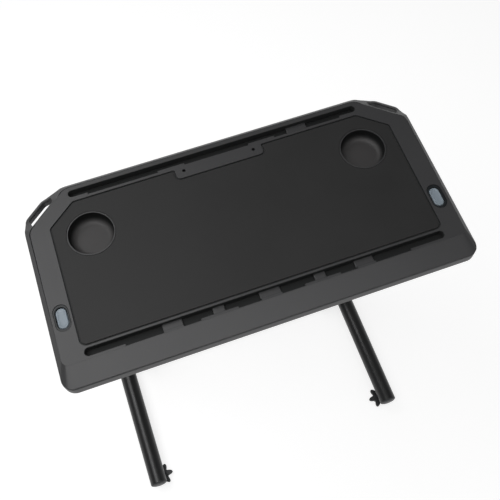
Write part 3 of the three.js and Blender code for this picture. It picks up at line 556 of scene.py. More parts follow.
class Maker:
    """Turns meshes into finished pieces on their bodies."""

    def __init__(self, wardrobe: Wardrobe) -> None:
        """Keeps the materials.

        Args:
            wardrobe: The built materials.
        """
        self.wardrobe = wardrobe
        self.bodies = {node: body for body, nodes in frame["record"]["behaviour"]["bodies"].items()
                       for node in nodes}

    def evaluate(self, piece: bpy.types.Object) -> None:
        """Applies a piece's modifiers to its mesh.

        Args:
            piece: The piece, which keeps no modifier.
        """
        graph = bpy.context.evaluated_depsgraph_get()
        old = piece.data
        piece.data = bpy.data.meshes.new_from_object(piece.evaluated_get(graph))
        piece.modifiers.clear()
        bpy.data.meshes.remove(old)

    def raw(self, mesh: bpy.types.Mesh) -> bpy.types.Object:
        """Puts a mesh into the scene.

        Args:
            mesh: The mesh, which also gives the name.

        Returns:
            The new object.
        """
        piece = bpy.data.objects.new(mesh.name, mesh)
        bpy.context.scene.collection.objects.link(piece)
        return piece

    def combine(self, piece: bpy.types.Object, others: Sequence[bpy.types.Mesh], operation: str) -> None:
        """Cuts solids from a piece, or joins them to it.

        Args:
            piece: The piece that changes.
            others: The solids, which are used up.
            operation: "DIFFERENCE" or "UNION".
        """
        helpers = [self.raw(mesh) for mesh in others]
        for helper in helpers:
            modifier = piece.modifiers.new("combine", "BOOLEAN")
            modifier.operation = operation
            modifier.solver = "EXACT"
            modifier.object = helper
        self.evaluate(piece)
        for helper in helpers:
            mesh = helper.data
            bpy.data.objects.remove(helper)
            bpy.data.meshes.remove(mesh)

    def polish(self, piece: bpy.types.Object, ease: float = 0.0, angle: float = 35.0) -> None:
        """Rounds a piece's edges and smooths its shading.

        Args:
            piece: The piece.
            ease: Width of the rounding in millimetres, or 0 for none.
            angle: The least angle in degrees of an edge that is rounded or stays crisp.
        """
        shape = bmesh.new()
        shape.from_mesh(piece.data)
        bmesh.ops.remove_doubles(shape, verts=shape.verts, dist=2 * MERGE)
        bmesh.ops.dissolve_limit(shape, angle_limit=math.radians(0.3), verts=shape.verts,
                                 edges=shape.edges)
        bmesh.ops.recalc_face_normals(shape, faces=shape.faces)
        shape.to_mesh(piece.data)
        shape.free()
        if ease:
            bevel = piece.modifiers.new("ease", "BEVEL")
            bevel.width = ease * MM
            bevel.segments = EASE_FACETS
            bevel.limit_method = "ANGLE"
            bevel.angle_limit = math.radians(angle)
            bevel.miter_outer = "MITER_ARC"
            self.evaluate(piece)
        piece.data.polygons.foreach_set("use_smooth", [True] * len(piece.data.polygons))
        piece.data.set_sharp_from_angle(angle=math.radians(angle))
        weighted = piece.modifiers.new("weighted", "WEIGHTED_NORMAL")
        weighted.keep_sharp = True
        self.evaluate(piece)

    def finish(self, piece: bpy.types.Object, node: str, finish: Finish, replace: bool = True) -> None:
        """Dresses a piece, puts it on a body and reports it.

        Args:
            piece: The finished object.
            node: The CAD node that it stands for or sits on.
            finish: Its material.
            replace: Whether it stands for the node.
        """
        self.wardrobe.dress(piece, finish)
        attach(piece, self.bodies[node])
        if replace:
            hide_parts(node)
        log.info("%s: %d faces on %s", piece.name, len(piece.data.polygons), self.bodies[node])

    def add(self, node: str, mesh: bpy.types.Mesh, finish: Finish, ease: float = 0.0,
            cuts: Sequence[bpy.types.Mesh] = (), joins: Sequence[bpy.types.Mesh] = (),
            angle: float = 35.0) -> bpy.types.Object:
        """Makes the fine piece that stands for a CAD node.

        Args:
            node: The node's name.
            mesh: The main form.
            finish: Its material.
            ease: Edge rounding in millimetres.
            cuts: Solids to cut away.
            joins: Solids to join on first.
            angle: The least angle of a crisp edge in degrees.

        Returns:
            The finished piece.
        """
        piece = self.raw(mesh)
        piece.name = f"{node}_fine"
        if joins:
            self.combine(piece, joins, "UNION")
        if cuts:
            self.combine(piece, cuts, "DIFFERENCE")
        self.polish(piece, ease, angle)
        self.finish(piece, node, finish)
        return piece

    def extra(self, name: str, node: str, mesh: bpy.types.Mesh, finish: Finish, ease: float = 0.0,
              cuts: Sequence[bpy.types.Mesh] = ()) -> None:
        """Makes a small piece that rides with a node and replaces none.

        Args:
            name: The piece's name.
            node: The node that it sits on.
            mesh: Its form.
            finish: Its material.
            ease: Edge rounding in millimetres.
            cuts: Solids to cut away.
        """
        piece = self.raw(mesh)
        piece.name = name
        if cuts:
            self.combine(piece, cuts, "DIFFERENCE")
        self.polish(piece, ease)
        self.finish(piece, node, finish, replace=False)

    def grow(self, mesh: bpy.types.Mesh, node: str, tree: bpy.types.GeometryNodeTree, finish: Finish,
             values: dict, ease: float = 0.0, angle: float = 35.0) -> None:
        """Grows a small piece from a mesh of places by Geometry Nodes.

        Args:
            mesh: The places or path, named for the piece.
            node: The node that it sits on.
            tree: The tree that makes the geometry.
            finish: Its material.
            values: The tree's inputs by name.
            ease: Edge rounding in millimetres.
            angle: The least angle of a crisp edge in degrees.
        """
        piece = self.raw(mesh)
        modifier = piece.modifiers.new("grow", "NODES")
        modifier.node_group = tree
        values = {**values, "Material": self.wardrobe.materials[finish]}
        for item in tree.interface.items_tree:
            if item.in_out == "INPUT" and item.name in values:
                modifier[item.identifier] = values[item.name]
        self.evaluate(piece)
        self.polish(piece, ease, angle)
        self.finish(piece, node, finish, replace=False)

    def refine(self, node: str, finish: Finish, ease: float, angle: float = 35.0) -> None:
        """Copies a CAD node whose form is right and eases its edges."""
        self.add(node, frame["nodes"][node].data.copy(), finish, ease, angle=angle)


def corners_of(node: str) -> tuple[Vector, Vector]:
    """Gives a node's lowest and highest corners in millimetres."""
    low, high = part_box(node)
    return Vector(low) / MM, Vector(high) / MM


def middle_of(node: str) -> Vector:
    """Gives the middle of a node's box in millimetres."""
    low, high = corners_of(node)
    return (low + high) / 2


def open_tree(name: str, lengths: Sequence[str], ways: Sequence[str] = ()) -> bpy.types.GeometryNodeTree:
    """Starts a Geometry Nodes tree that takes and gives geometry.

    Args:
        name: The tree's name.
        lengths: Names of its number inputs.
        ways: Names of its direction inputs.

    Returns:
        The tree, which also takes a material.
    """
    tree = bpy.data.node_groups.new(name, "GeometryNodeTree")
    inputs = [("Geometry", "NodeSocketGeometry"), *((word, "NodeSocketFloat") for word in lengths),
              *((word, "NodeSocketVector") for word in ways), ("Material", "NodeSocketMaterial")]
    for word, kind in inputs:
        tree.interface.new_socket(word, in_out="INPUT", socket_type=kind)
    tree.interface.new_socket("Geometry", in_out="OUTPUT", socket_type="NodeSocketGeometry")
    return tree


def close_tree(tree: bpy.types.GeometryNodeTree, inputs: bpy.types.NodeOutputs,
               placed: bpy.types.Node) -> None:
    """Ends a tree in real geometry with its material.

    Args:
        tree: The tree.
        inputs: The sockets that hold its inputs.
        placed: The node that gives the instances.
    """
    real = add_node(tree, "GeometryNodeRealizeInstances", links={0: placed.outputs[0]})
    painted = add_node(tree, "GeometryNodeSetMaterial",
                       links={"Geometry": real.outputs[0], "Material": inputs["Material"]})
    add_node(tree, "NodeGroupOutput", links={0: painted.outputs[0]})


class Fasteners:
    """Screws and bolts, placed by Geometry Nodes."""

    def __init__(self, maker: Maker) -> None:
        """Keeps the maker and builds the tree.

        Args:
            maker: Makes the finished pieces.
        """
        self.maker = maker
        self.tree = self.build_tree()

    def build_tree(self) -> bpy.types.GeometryNodeTree:
        """Builds the tree that puts a socket-head screw on every point.

        Returns:
            The tree, with the head's radius, height and socket radius and its direction as inputs.
        """
        tree = open_tree("socket_screws", ("Head Radius", "Head Height", "Socket Radius"), ("Towards",))
        inputs = add_node(tree, "NodeGroupInput").outputs
        head = add_node(tree, "GeometryNodeMeshCylinder", {"Vertices": 32},
                        {"Radius": inputs["Head Radius"], "Depth": inputs["Head Height"]})
        socket = add_node(tree, "GeometryNodeMeshCylinder", {"Vertices": 6},
                          {"Radius": inputs["Socket Radius"], "Depth": inputs["Head Height"]})
        half = add_node(tree, "ShaderNodeMath", {"operation": "MULTIPLY", 1: 0.5},
                        {0: inputs["Head Height"]})
        lift = add_node(tree, "ShaderNodeCombineXYZ", links={2: half.outputs[0]})
        raised = add_node(tree, "GeometryNodeTransform",
                          links={"Geometry": socket.outputs[0], "Translation": lift.outputs[0]})
        drilled = add_node(tree, "GeometryNodeMeshBoolean", {"operation": "DIFFERENCE"},
                           {0: head.outputs[0], 1: raised.outputs[0]})
        seated = add_node(tree, "GeometryNodeTransform",
                          links={"Geometry": drilled.outputs[0], "Translation": lift.outputs[0]})
        turn = add_node(tree, "FunctionNodeAlignRotationToVector", {"axis": "Z"},
                        {"Vector": inputs["Towards"]})
        placed = add_node(tree, "GeometryNodeInstanceOnPoints",
                          links={"Points": inputs["Geometry"], "Instance": seated.outputs[0],
                                 "Rotation": turn.outputs[0]})
        close_tree(tree, inputs, placed)
        return tree

    def add(self, name: str, node: str, places: Sequence[Sequence[float]], towards: Sequence[float],
            head_radius: float, head_height: float) -> None:
        """Puts equal screws on one body.

        Args:
            name: The piece's name.
            node: The node that they sit on.
            places: Where each head's underside lies, in millimetres.
            towards: The way the heads point.
            head_radius: Radius of a head in millimetres.
            head_height: Height of a head in millimetres.
        """
        mesh = bpy.data.meshes.new(name)
        mesh.from_pydata([Vector(place) * MM for place in places], [], [])
        self.maker.grow(mesh, node, self.tree, Finish.BRIGHT, {
            "Head Radius": head_radius * MM, "Head Height": head_height * MM,
            "Socket Radius": head_radius * 0.5 * MM, "Towards": tuple(towards)}, head_radius * 0.08)


@dataclass
class Deck:
    """The top: both shells, mat, cup wells, device slots and buttons."""

    maker: Maker
    # Clearances between fixed and between sliding parts, and how far a cutter runs past a face
    seat: float = 0.3
    slide: float = 0.4
    over: float = 4.0
    # Flat face: its edges, its corners and the places where its rear chamfer is divided
    flat_front: float = 26.0
    flat_rear: float = 320.0
    flat_half: float = 383.9
    flat_chamfer_start: float = 250.0
    flat_chamfer_half: float = 300.5
    flat_corner: float = 13.0
    corner_shrink: float = 0.4
    middle_shares: Point = (0.35, 0.68)
    bend: float = 12.0
    # Rim at the foot of the side bevel, with the rounded fold and crease of the bevel
    rim_front: float = 67.5
    rim_rear: float = 332.0
    rim_half: float = 394.8
    rim_corner: float = 23.0
    rim_depth: float = 11.6
    rim_inset: float = 0.2
    rim_ease: float = 1.6
    lip: float = 1.6
    lip_taper: float = 0.4
    fold_ease: float = 0.8
    crease: Point = (3.0, 4.8)
    crease_reach: float = 26.0
    crease_fade: float = 8.0
    # How the rim drops along the loops and rises along the front
    loop_sag: float = 11.0
    sag_run: Point = (24.0, 32.0)
    sag_tail: float = 8.0
    front_lift: float = 3.4
    lift_run: Point = (14.0, 4.0)
    # Shells and the groove of the seam between them
    deck_thickness: float = 6.0
    wall: float = 3.0
    hollow_corner: float = 27.0
    fold_corner: float = 10.0
    tray_depth: float = 35.0
    tray_ease: float = 1.8
    seam: float = 0.8
    seam_groove: Point = (4.5, 1.9)
    seam_ease: tuple[Point, ...] = ((0.0, 2.2), (0.4, 0.8), (1.2, 0.0))
    # Cable loops at the rear corners
    knee: Point = (389.8, 289.6)
    shoulder: Point = (351.3, 322.0)
    loop_corner: float = 7.0
    loop_start: float = 257.0
    loop_end: float = 306.0
    loop_bar: float = 5.4
    loop_draft: float = -2.2
    loop_ledge: float = 4.1
    loop_shares: Point = (0.12, 0.7)
    # Mat, its recess, a dark strip of painted shade in its groove, and the tab with two holes behind it
    groove: float = 1.5
    recess: float = 3.5
    mat_thickness: float = 3.0
    mat_ease: float = 0.5
    mat_inset: float = 1.8
    mat_corner: float = 12.0
    mat_bend: float = 4.0
    mat_chamfer: Point = (291.9, 242.7)
    groove_shade_depth: float = 3.2
    tab_half: float = 88.7
    tab_front: float = 265.5
    tab_bend: float = 8.0
    tab_hole: Point = (71.5, 280.5)
    tab_hole_radius: float = 3.3
    # Cup wells
    well_place: Point = (274.9, 209.6)
    well_radius: float = 43.4
    well_wall: float = 1.4
    well_flange: float = 1.4
    well_rim: float = 2.3
    well_depth: float = 25.0
    well_round: float = 15.0
    well_floor: float = 2.0
    flange_height: float = 1.2
    # Device slots: half length, near and far side, then where the pockets and the ledges lie
    front_slot: tuple = (342.4, -20.5, -5.7,
                         ((-271, -202), (-165, -133), (-63, -20), (20, 63), (133, 165), (202, 271)),
                         ((-202, -165), (-108, -86), (-20, 20), (86, 108), (165, 202)))
    rear_slot: tuple = (296.7, 297.0, 311.0, ((-260, -121), (-66, 66), (121, 260)), ((150, 192),))
    pocket: float = 3.6
    slot_wall: float = 1.8
    slot_depth: float = 17.0
    slot_floor: float = 2.0
    sleeve: float = 0.7
    sleeve_gap: float = 0.1
    sleeve_top: float = 0.5
    ledge_depth: float = 9.0
    ledge_overlap: float = 0.9
    ledge_ease: float = 1.5
    # Buttons and their frames; the dish is an inset and a depth for each level
    button_place: Point = (364.8, 63.0)
    button_size: Point = (20.4, 40.6)
    button_dish: tuple[Point, ...] = ((0.0, 3.2), (0.9, 2.4), (0.9, 1.4), (1.0, 1.0), (1.3, 0.45),
                                      (1.8, 0.1), (2.4, 0.0), (3.2, 0.12), (4.4, 0.5), (6.2, 0.85),
                                      (8.4, 1.0))
    button_wall: float = 2.7
    button_roof: float = 2.9
    button_flange: Point = (2.0, 1.7)
    stem: Point = (4.0, 2.2)
    bezel_rim: float = 3.4
    bezel_length: float = 52.0
    clip: Point = (2.2, 1.7)
    throat: Point = (1.2, 1.2)
    # Rod holes and the posts under the rockers and cross shafts
    rod_hole: float = 7.0
    pivot_behind: float = 153.0
    pivot_depth: float = 18.5
    pivot_bore: float = 2.8
    pivot_posts: Point = (-8, 5)
    shaft_behind: float = 272.0
    shaft_depth: float = 20.0
    shaft_bore: float = 4.0
    shaft_posts: Point = (312, 326)
    post_width: float = 3.0
    post_half: float = 7.0
    post_depth: float = 14.0
    datum: Vector = field(init=False)

    def __post_init__(self) -> None:
        """Takes the mat's front edge and the top face from the frame."""
        self.datum = Vector((0, corners_of("work_mat")[0].y, corners_of("top_shell")[1].z))

    def y(self, behind: float) -> float:
        """Gives a place behind the mat's front edge."""
        return self.datum.y + behind

    def z(self, depth: float) -> float:
        """Gives a level below the top face."""
        return self.datum.z - depth

    def chamfer(self, inset: float) -> tuple[Vector, Vector]:
        """Gives the start and direction of the rear chamfer, moved inward.

        Args:
            inset: How far it is moved inward, in millimetres.

        Returns:
            Its start and its direction.
        """
        start = Vector((self.flat_half, self.y(self.flat_chamfer_start)))
        along = Vector((self.flat_chamfer_half, self.y(self.flat_rear))) - start
        inward = Vector((-along.y, along.x)).normalized()
        return start + inward * inset, along

    def flat_ring(self, inset: float = 0.0) -> Ring:
        """Makes the outline of the flat top face.

        Args:
            inset: How far it is moved inward, in millimetres.

        Returns:
            The outline.
        """
        start, along = self.chamfer(inset)
        middle = [start + along * share for share in self.middle_shares]
        rear = self.y(self.flat_rear) - inset
        corner_x = start.x + along.x * (rear - start.y) / along.y
        side = self.flat_half - inset
        corner_y = start.y + along.y * (side - start.x) / along.x
        return symmetric([
            (side, self.y(-self.flat_front) + inset, self.flat_corner - inset * self.corner_shrink),
            (side, corner_y, self.bend), *((p.x, p.y, self.bend) for p in middle),
            (corner_x, rear, self.bend)])

    def rim_ring(self, inset: float = 0.0) -> Ring:
        """Makes the outline of the rim, which bows out round the cable loops.

        Args:
            inset: How far it is moved inward, in millimetres.

        Returns:
            The outline.
        """
        side = self.rim_half - inset
        loop = [(x - inset, self.y(behind) - inset, self.loop_corner)
                for x, behind in (self.knee, self.shoulder)]
        return symmetric([(side, self.y(-self.rim_front) + inset, self.rim_corner),
                          (side, self.y(self.loop_start), self.bend), *loop,
                          (self.loop_end, self.y(self.rim_rear) - inset, self.bend)])

    def sag(self, mesh: bpy.types.Mesh) -> bpy.types.Mesh:
        """Lowers the rim and seam along the cable loops and lifts them along the front.

        Args:
            mesh: The shell's mesh.

        Returns:
            The same mesh.
        """
        for vertex in mesh.vertices:
            x, behind = abs(vertex.co.x) / MM, vertex.co.y / MM - self.y(0)
            depth = self.z(0) - vertex.co.z / MM
            level = (ramp(depth, 0.0, self.rim_depth)
                     * ramp(-depth, -self.tray_depth, -self.rim_depth - self.sag_tail))
            loop = (ramp(behind, self.loop_start, self.loop_start + self.sag_run[0])
                    * ramp(x, self.loop_end, self.loop_end + self.sag_run[1]))
            front = ramp(-behind, self.rim_front - self.lift_run[0], self.rim_front - self.lift_run[1])
            vertex.co.z -= (self.loop_sag * loop - self.front_lift * front) * level * MM
        return mesh

    def hollow_ring(self, half: float, front: float, rear: float, corner: float) -> Ring:
        """Makes the outline of the hollow inside the shells.

        Args:
            half: Half the shell's width.
            front: Place of its front side.
            rear: Place of its rear side.
            corner: Setback of the front corners.

        Returns:
            The outline.
        """
        start, along = self.chamfer(self.wall)
        side, back = half - self.wall, rear - self.wall
        return symmetric([(side, front + self.wall, corner),
                          (side, start.y + along.y * (side - start.x) / along.x, self.bend),
                          (start.x + along.x * (back - start.y) / along.y, back, self.bend)])

    def loop_cutter(self, sign: int) -> bpy.types.Mesh:
        """Makes the through opening of a cable loop.

        Args:
            sign: -1 for left, 1 for right.

        Returns:
            The cutter.
        """
        start, along = self.chamfer(-self.loop_ledge)
        first, last = (start + along * share for share in self.loop_shares)

        def ring(bar: float) -> Ring:
            """Makes the opening's outline beside a bar.

            Args:
                bar: The bar's width in millimetres.

            Returns:
                The outline.
            """
            corners = [(first.x, first.y, 1.5), (self.knee[0] - bar, self.y(self.knee[1]) - bar / 2, 1.5),
                       (self.shoulder[0] - bar / 2, self.y(self.shoulder[1]) - bar, 3),
                       (last.x + bar / 2, self.y(self.shoulder[1]) - bar / 2, 2), (last.x, last.y, 1.5)]
            corners = [(sign * x, y, s) for x, y, s in corners]
            return rounded(corners if sign > 0 else corners[::-1], 8)

        return loft("loop", [(ring(self.loop_bar - self.loop_draft), self.z(self.tray_depth + self.over)),
                             (ring(self.loop_bar), self.z(-self.over))])

    def mat_ring(self, grow: float) -> Ring:
        """Makes the outline of the mat, or of its recess when grown.

        Args:
            grow: How far it is moved outward, in millimetres.

        Returns:
            The outline.
        """
        lean = math.tan(math.pi / 8) * grow
        half = -corners_of("work_mat")[0].x
        depth = corners_of("work_mat")[1].y - self.datum.y
        tab = self.tab_half + self.groove - grow
        return symmetric([(half + grow, self.y(-grow), self.mat_corner + grow),
                          (half + grow, self.y(self.mat_chamfer[1] + lean), self.mat_bend),
                          (self.mat_chamfer[0] + lean, self.y(depth + grow), self.mat_bend),
                          (tab, self.y(depth + grow), self.mat_bend),
                          (tab, self.y(self.tab_front - self.groove + grow), self.tab_bend)])

    def slot_ring(self, slot: tuple, grow: float) -> Ring:
        """Makes the outline of a device slot, grown by a wall.

        Args:
            slot: Half its length, its near and far sides, its deeper pockets and its ledges.
            grow: Thickness of the wall.

        Returns:
            The outline.
        """
        half, near, far, pockets, _ = slot
        radius = (far - near) / 2
        middle, near_y = self.y((near + far) / 2), self.y(near) - grow
        ring: Ring = []

        def end(sign: int, start: float) -> None:
            """Adds a round end to the outline.

            Args:
                sign: -1 for the left end, 1 for the right.
                start: The angle in radians at which its arc starts.
            """
            for step in range(17):
                angle = start + math.pi * step / 16
                ring.append((sign * (half - radius) + (radius + grow) * math.cos(angle),
                             middle + (radius + grow) * math.sin(angle)))

        end(-1, math.pi / 2)
        for low, high in pockets:
            ring.extend([(low - grow, near_y), (low - grow, near_y - self.pocket),
                         (high + grow, near_y - self.pocket), (high + grow, near_y)])
        end(1, -math.pi / 2)
        return ring

    def prism(self, ring: Ring, low: float, high: float) -> bpy.types.Mesh:
        """Makes an upright prism between two depths below the top face."""
        return loft("prism", [(ring, self.z(low)), (ring, self.z(high))])

    def channel(self, outer: Ring, inner: Ring, bottom: float, top: float) -> bpy.types.Mesh:
        """Makes a band between two outlines and two depths below the top face."""
        low, high = self.z(bottom), self.z(top)
        return loft("channel", [(outer, low), (outer, high), (inner, high), (inner, low)], closed=True)

    def spot(self, sign: int, place: Point, level: float = 0.0) -> tuple[float, float, float]:
        """Gives a place on the left or right of the top."""
        return sign * place[0], self.y(place[1]), level

    def bezel_ring(self, sign: int, grow: float) -> Ring:
        """Makes the outline of a button's frame.

        Args:
            sign: -1 for left, 1 for right.
            grow: How far it is moved outward, in millimetres.

        Returns:
            The outline.
        """
        width = self.button_size[0] + 2 * (self.bezel_rim + self.slide + grow)
        x, y, _ = self.spot(sign, self.button_place)
        return stadium(x, y, width, self.bezel_length + 2 * grow)

    def skin_levels(self) -> list[list[Vector]]:
        """Lists the top shell's rings from its lip to the flat face.

        Each column crosses the side bevel. It rounds the rim's fold, then the crease beside the flat
        face, which fades where the bevel is wide.

        Returns:
            The rings' points in millimetres.
        """
        low, rim = self.rim_ring(self.rim_inset + self.lip_taper), self.rim_ring(self.rim_inset)
        flat, inner = self.flat_ring(), self.flat_ring(self.fold_ease)
        columns = []
        for i in range(len(rim)):
            fold = Vector((*flat[i], self.z(0)))
            corner = Vector((*rim[i], self.z(self.rim_depth)))
            near = (self.crease_reach - math.dist(rim[i], flat[i])) / self.crease_fade
            share = min(max(near, 0.04), 1.0)
            across, deep = self.crease[0] * share, self.crease[1] * share
            slope = (corner - fold).normalized()
            path = [Vector((*low[i], self.z(self.rim_depth + self.lip))),
                    Vector((*rim[i], self.z(self.rim_depth + self.lip - self.seam))), corner,
                    fold + slope * across, fold + slope * across * 0.4 - Vector((0, 0, deep)), fold,
                    Vector((*inner[i], self.z(0)))]
            column = [path[0], path[1]]
            ease = min(self.rim_ease, self.lip - self.seam) * 0.8
            column.extend(conic(corner + (path[1] - corner).normalized() * ease, corner,
                                corner + (path[3] - corner).normalized() * ease, 3))
            column += path[3:5]
            ease = min(self.fold_ease * 0.75, deep * 0.4)
            column.extend(conic(fold + (path[4] - fold).normalized() * ease, fold,
                                fold + (path[6] - fold).normalized() * ease, 4))
            column.append(path[6])
            columns.append(column)
        return [list(level) for level in zip(*columns)]

    def build_top(self) -> None:
        """Builds the upper moulding."""
        shell = self.sag(skin("top_shell_fine", self.skin_levels()))
        depth = self.rim_depth + self.lip
        wide = self.hollow_ring(self.rim_half, self.y(-self.rim_front), self.y(self.rim_rear),
                                self.hollow_corner)
        fold = self.y(-self.flat_front - self.wall - self.seat)
        narrow = self.hollow_ring(self.flat_half, fold, self.y(self.flat_rear), self.fold_corner)
        under, above = self.deck_thickness + self.over, -self.over
        cuts = [loft("hollow", [(wide, self.z(depth + self.over)), (wide, self.z(depth)),
                                (narrow, self.z(self.deck_thickness))]),
                self.prism(self.mat_ring(self.groove), self.recess, above),
                self.channel(self.mat_ring(self.groove), self.mat_ring(-self.mat_inset - 0.5),
                             self.deck_thickness - 0.5, self.recess - 0.2)]
        cuts += [self.prism(self.slot_ring(slot, self.sleeve), under, above)
                 for slot in (self.front_slot, self.rear_slot)]
        cup = self.well_radius + self.well_wall + self.seat
        for _, sign in SIDES:
            cuts += [self.loop_cutter(sign),
                     rod("hole", cup, self.z(under), self.z(0), self.spot(sign, self.well_place)),
                     rod("hole", self.tab_hole_radius, self.z(under), self.z(above),
                         self.spot(sign, self.tab_hole), steps=32),
                     self.prism(self.bezel_ring(sign, self.seat), under, above)]
        piece = self.maker.add("top_shell", shell, Finish.SHELL, 0.45, cuts, angle=50)
        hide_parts(*(node for node in frame["nodes"] if node.startswith("top_shell")))

    def build_tray(self) -> None:
        """Builds the lower moulding."""
        seam = self.z(self.rim_depth + self.lip + self.seam)
        levels = []
        for step in range(7):
            angle = math.pi / 2 * step / 6
            inset = self.tray_ease * (1 - math.sin(angle))
            rise = self.tray_ease * (1 - math.cos(angle))
            levels.append((self.rim_ring(inset), self.z(self.tray_depth) + rise))
        inset, drop = self.seam_groove
        levels += [(self.rim_ring(back), seam - drop - fall) for back, fall in self.seam_ease]
        levels += [(self.rim_ring(inset), seam - drop), (self.rim_ring(inset), seam)]
        shell = self.sag(loft("bottom_shell_fine", levels))
        hollow = self.hollow_ring(self.rim_half, self.y(-self.rim_front), self.y(self.rim_rear),
                                  self.hollow_corner)
        floor = self.z(self.tray_depth - self.wall)
        cuts = [loft("hollow", [(hollow, floor), (hollow, seam + self.over)])]
        for word, sign in SIDES:
            column = middle_of(f"gas_rod_{word}")
            cuts += [self.loop_cutter(sign),
                     rod("hole", self.rod_hole, floor - 2 * self.over, floor + self.over,
                         (column.x, column.y, 0), steps=48)]
        self.maker.add("bottom_shell", shell, Finish.LOWER, 0.3, cuts, angle=50)

    def build_posts(self) -> None:
        """Builds the posts on the tray's floor that carry the rockers and cross shafts."""
        floor, top = self.z(self.tray_depth - self.wall), self.z(self.post_depth)
        half, width = self.post_half, self.post_width
        pivot, shaft = self.y(self.pivot_behind), self.y(self.shaft_behind)
        for word, sign in SIDES:
            middle = sign * self.button_place[0]
            places = [(middle + offset, pivot) for offset in self.pivot_posts]
            places += [(sign * x - width / 2, shaft) for x in self.shaft_posts]
            posts = [box_mesh("post", (x, y - half, floor), (x + width, y + half, top)) for x, y in places]
            between = sign * sum(self.shaft_posts) / 2
            bores = [rod("bore", radius, -2 * half, 2 * half, place, Axis.X, 32) for radius, place in (
                (self.pivot_bore, (middle, pivot, self.z(self.pivot_depth))),
                (self.shaft_bore, (between, shaft, self.z(self.shaft_depth))))]
            self.maker.extra(f"linkage_posts_{word}", "bottom_shell", joined("posts", posts),
                             Finish.LOWER, 0.5, bores)

    def build_mat(self) -> None:
        """Builds the rubber mat with softly rounded edges, and a strip of painted shade in its groove."""
        top = self.recess - self.seat - self.mat_thickness
        ease = self.mat_ease
        rings = [(self.mat_ring(-self.mat_inset), self.z(self.recess - self.seat)),
                 (self.mat_ring(-self.mat_inset), self.z(top + ease))]
        for step in range(1, 4):
            angle = math.pi / 2 * step / 3
            rings.append((self.mat_ring(-self.mat_inset - ease * (1 - math.cos(angle))),
                          self.z(top + ease * (1 - math.sin(angle)))))
        radius = self.well_radius + self.well_wall + self.well_flange + self.seat
        cuts = []
        for _, sign in SIDES:
            cuts.append(rod("hole", radius, self.z(self.recess + self.over), self.z(-self.over),
                            self.spot(sign, self.well_place), steps=96))
        self.maker.add("work_mat", loft("work_mat_fine", rings), Finish.MAT, 0.0, cuts, angle=50)
        # A dark strip fills the groove round the mat: painted shade, standing for the groove's shadow.
        bead = self.channel(self.mat_ring(self.groove - 0.1), self.mat_ring(-self.mat_inset - 0.2),
                            self.deck_thickness - 0.6, self.groove_shade_depth)
        self.maker.extra("mat_groove_shade", "work_mat", bead, Finish.LINER, 0.3)

    def build_wells(self) -> None:
        """Builds the two cups, each with a rim ring like the top's moulding."""
        outer, inner = self.well_radius + self.well_wall, self.well_radius
        under, floor = -self.recess + self.seat, -self.well_depth
        bottom, seat, flange = floor - self.well_floor, under + self.flange_height, outer + self.well_flange
        corners = [(0, bottom, 0), (outer, bottom, self.well_round), (outer, under, 0),
                   (flange, under, 0.3), (flange, seat, 0.2),
                   (inner, seat, 0.2), (inner, floor, self.well_round), (0, floor, 0)]
        edge = inner + self.well_rim
        ring = [(inner + 1, seat, 0), (edge, seat, 0.1), (edge, -0.02, 0.35), (inner, -0.02, 0.35),
                (inner, seat, 0.1), (inner + 1, seat, 0)]
        for word, sign in SIDES:
            place = self.spot(sign, self.well_place, self.z(0))
            mesh = turned("well", profile(corners, 10), place, steps=96)
            self.maker.add(f"cup_well_{word}", mesh, Finish.WELL, angle=40)
            self.maker.extra(f"cup_rim_{word}", f"cup_well_{word}",
                             turned("rim", profile(ring), place, steps=96), Finish.SHELL)

    def build_slots(self) -> None:
        """Builds the troughs under both device slots."""
        top, bottom = self.deck_thickness + self.seat, self.slot_depth
        gap, lap = self.sleeve_gap, self.ledge_overlap
        for name, slot in (("front_slot_liner", self.front_slot), ("rear_slot_liner", self.rear_slot)):
            walls = self.prism(self.slot_ring(slot, self.slot_wall), bottom, top)
            sleeve = self.prism(self.slot_ring(slot, self.sleeve - gap), top + gap, self.sleeve_top)
            room = self.prism(self.slot_ring(slot, 0), bottom - self.slot_floor, -self.over)
            ledges = [box_mesh("ledge", (low, self.y(slot[1]) - lap, self.z(bottom - self.slot_floor / 2)),
                               (high, self.y(slot[2]) + lap, self.z(self.ledge_depth)))
                      for low, high in slot[4]]
            self.maker.extra(name.replace("liner", "ledges"), name, joined("ledges", ledges),
                             Finish.SHELL, self.ledge_ease)
            piece = self.maker.raw(walls)
            piece.name = f"{name}_fine"
            self.maker.combine(piece, [sleeve], "UNION")
            self.maker.combine(piece, [room], "DIFFERENCE")
            self.maker.polish(piece, 0.15)
            self.maker.finish(piece, name, Finish.LINER)

    def build_buttons(self) -> None:
        """Builds the release buttons and their frames."""
        room_size = [size + 2 * self.slide for size in self.button_size]
        throat_size = [size + 2 * self.throat[0] for size in room_size]
        for word, sign in SIDES:
            x, y, _ = self.spot(sign, self.button_place)
            low, high = corners_of(f"button_bezel_{word}")
            rim = [(self.bezel_ring(sign, 0), low.z), (self.bezel_ring(sign, 0), high.z - 0.8),
                   (self.bezel_ring(sign, -0.3), high.z - 0.2), (self.bezel_ring(sign, -0.9), high.z)]
            skirt = self.bezel_ring(sign, self.clip[0])
            clip = loft("clip", [(skirt, low.z), (skirt, low.z + self.clip[1])])
            room, throat = stadium(x, y, *room_size), stadium(x, y, *throat_size)
            well = loft("well", [(room, low.z - self.over), (room, high.z - self.throat[1]),
                                 (throat, high.z + 0.3)])
            self.maker.add(f"button_bezel_{word}", loft("bezel", rim), Finish.BEZEL, 0.0, [well], [clip],
                           angle=30)
            self.build_button(word, x, y)

    def build_button(self, word: str, x: float, y: float) -> None:
        """Builds one button, dished along its middle for a fingertip.

        Args:
            word: Left or right.
            x: Its middle.
            y: Its middle.
        """
        width, length = self.button_size
        low, high = corners_of(f"button_{word}")
        top, (wide, thick) = high.z, self.button_flange
        flange = self.z(self.deck_thickness + 2 * self.seat + self.clip[1])

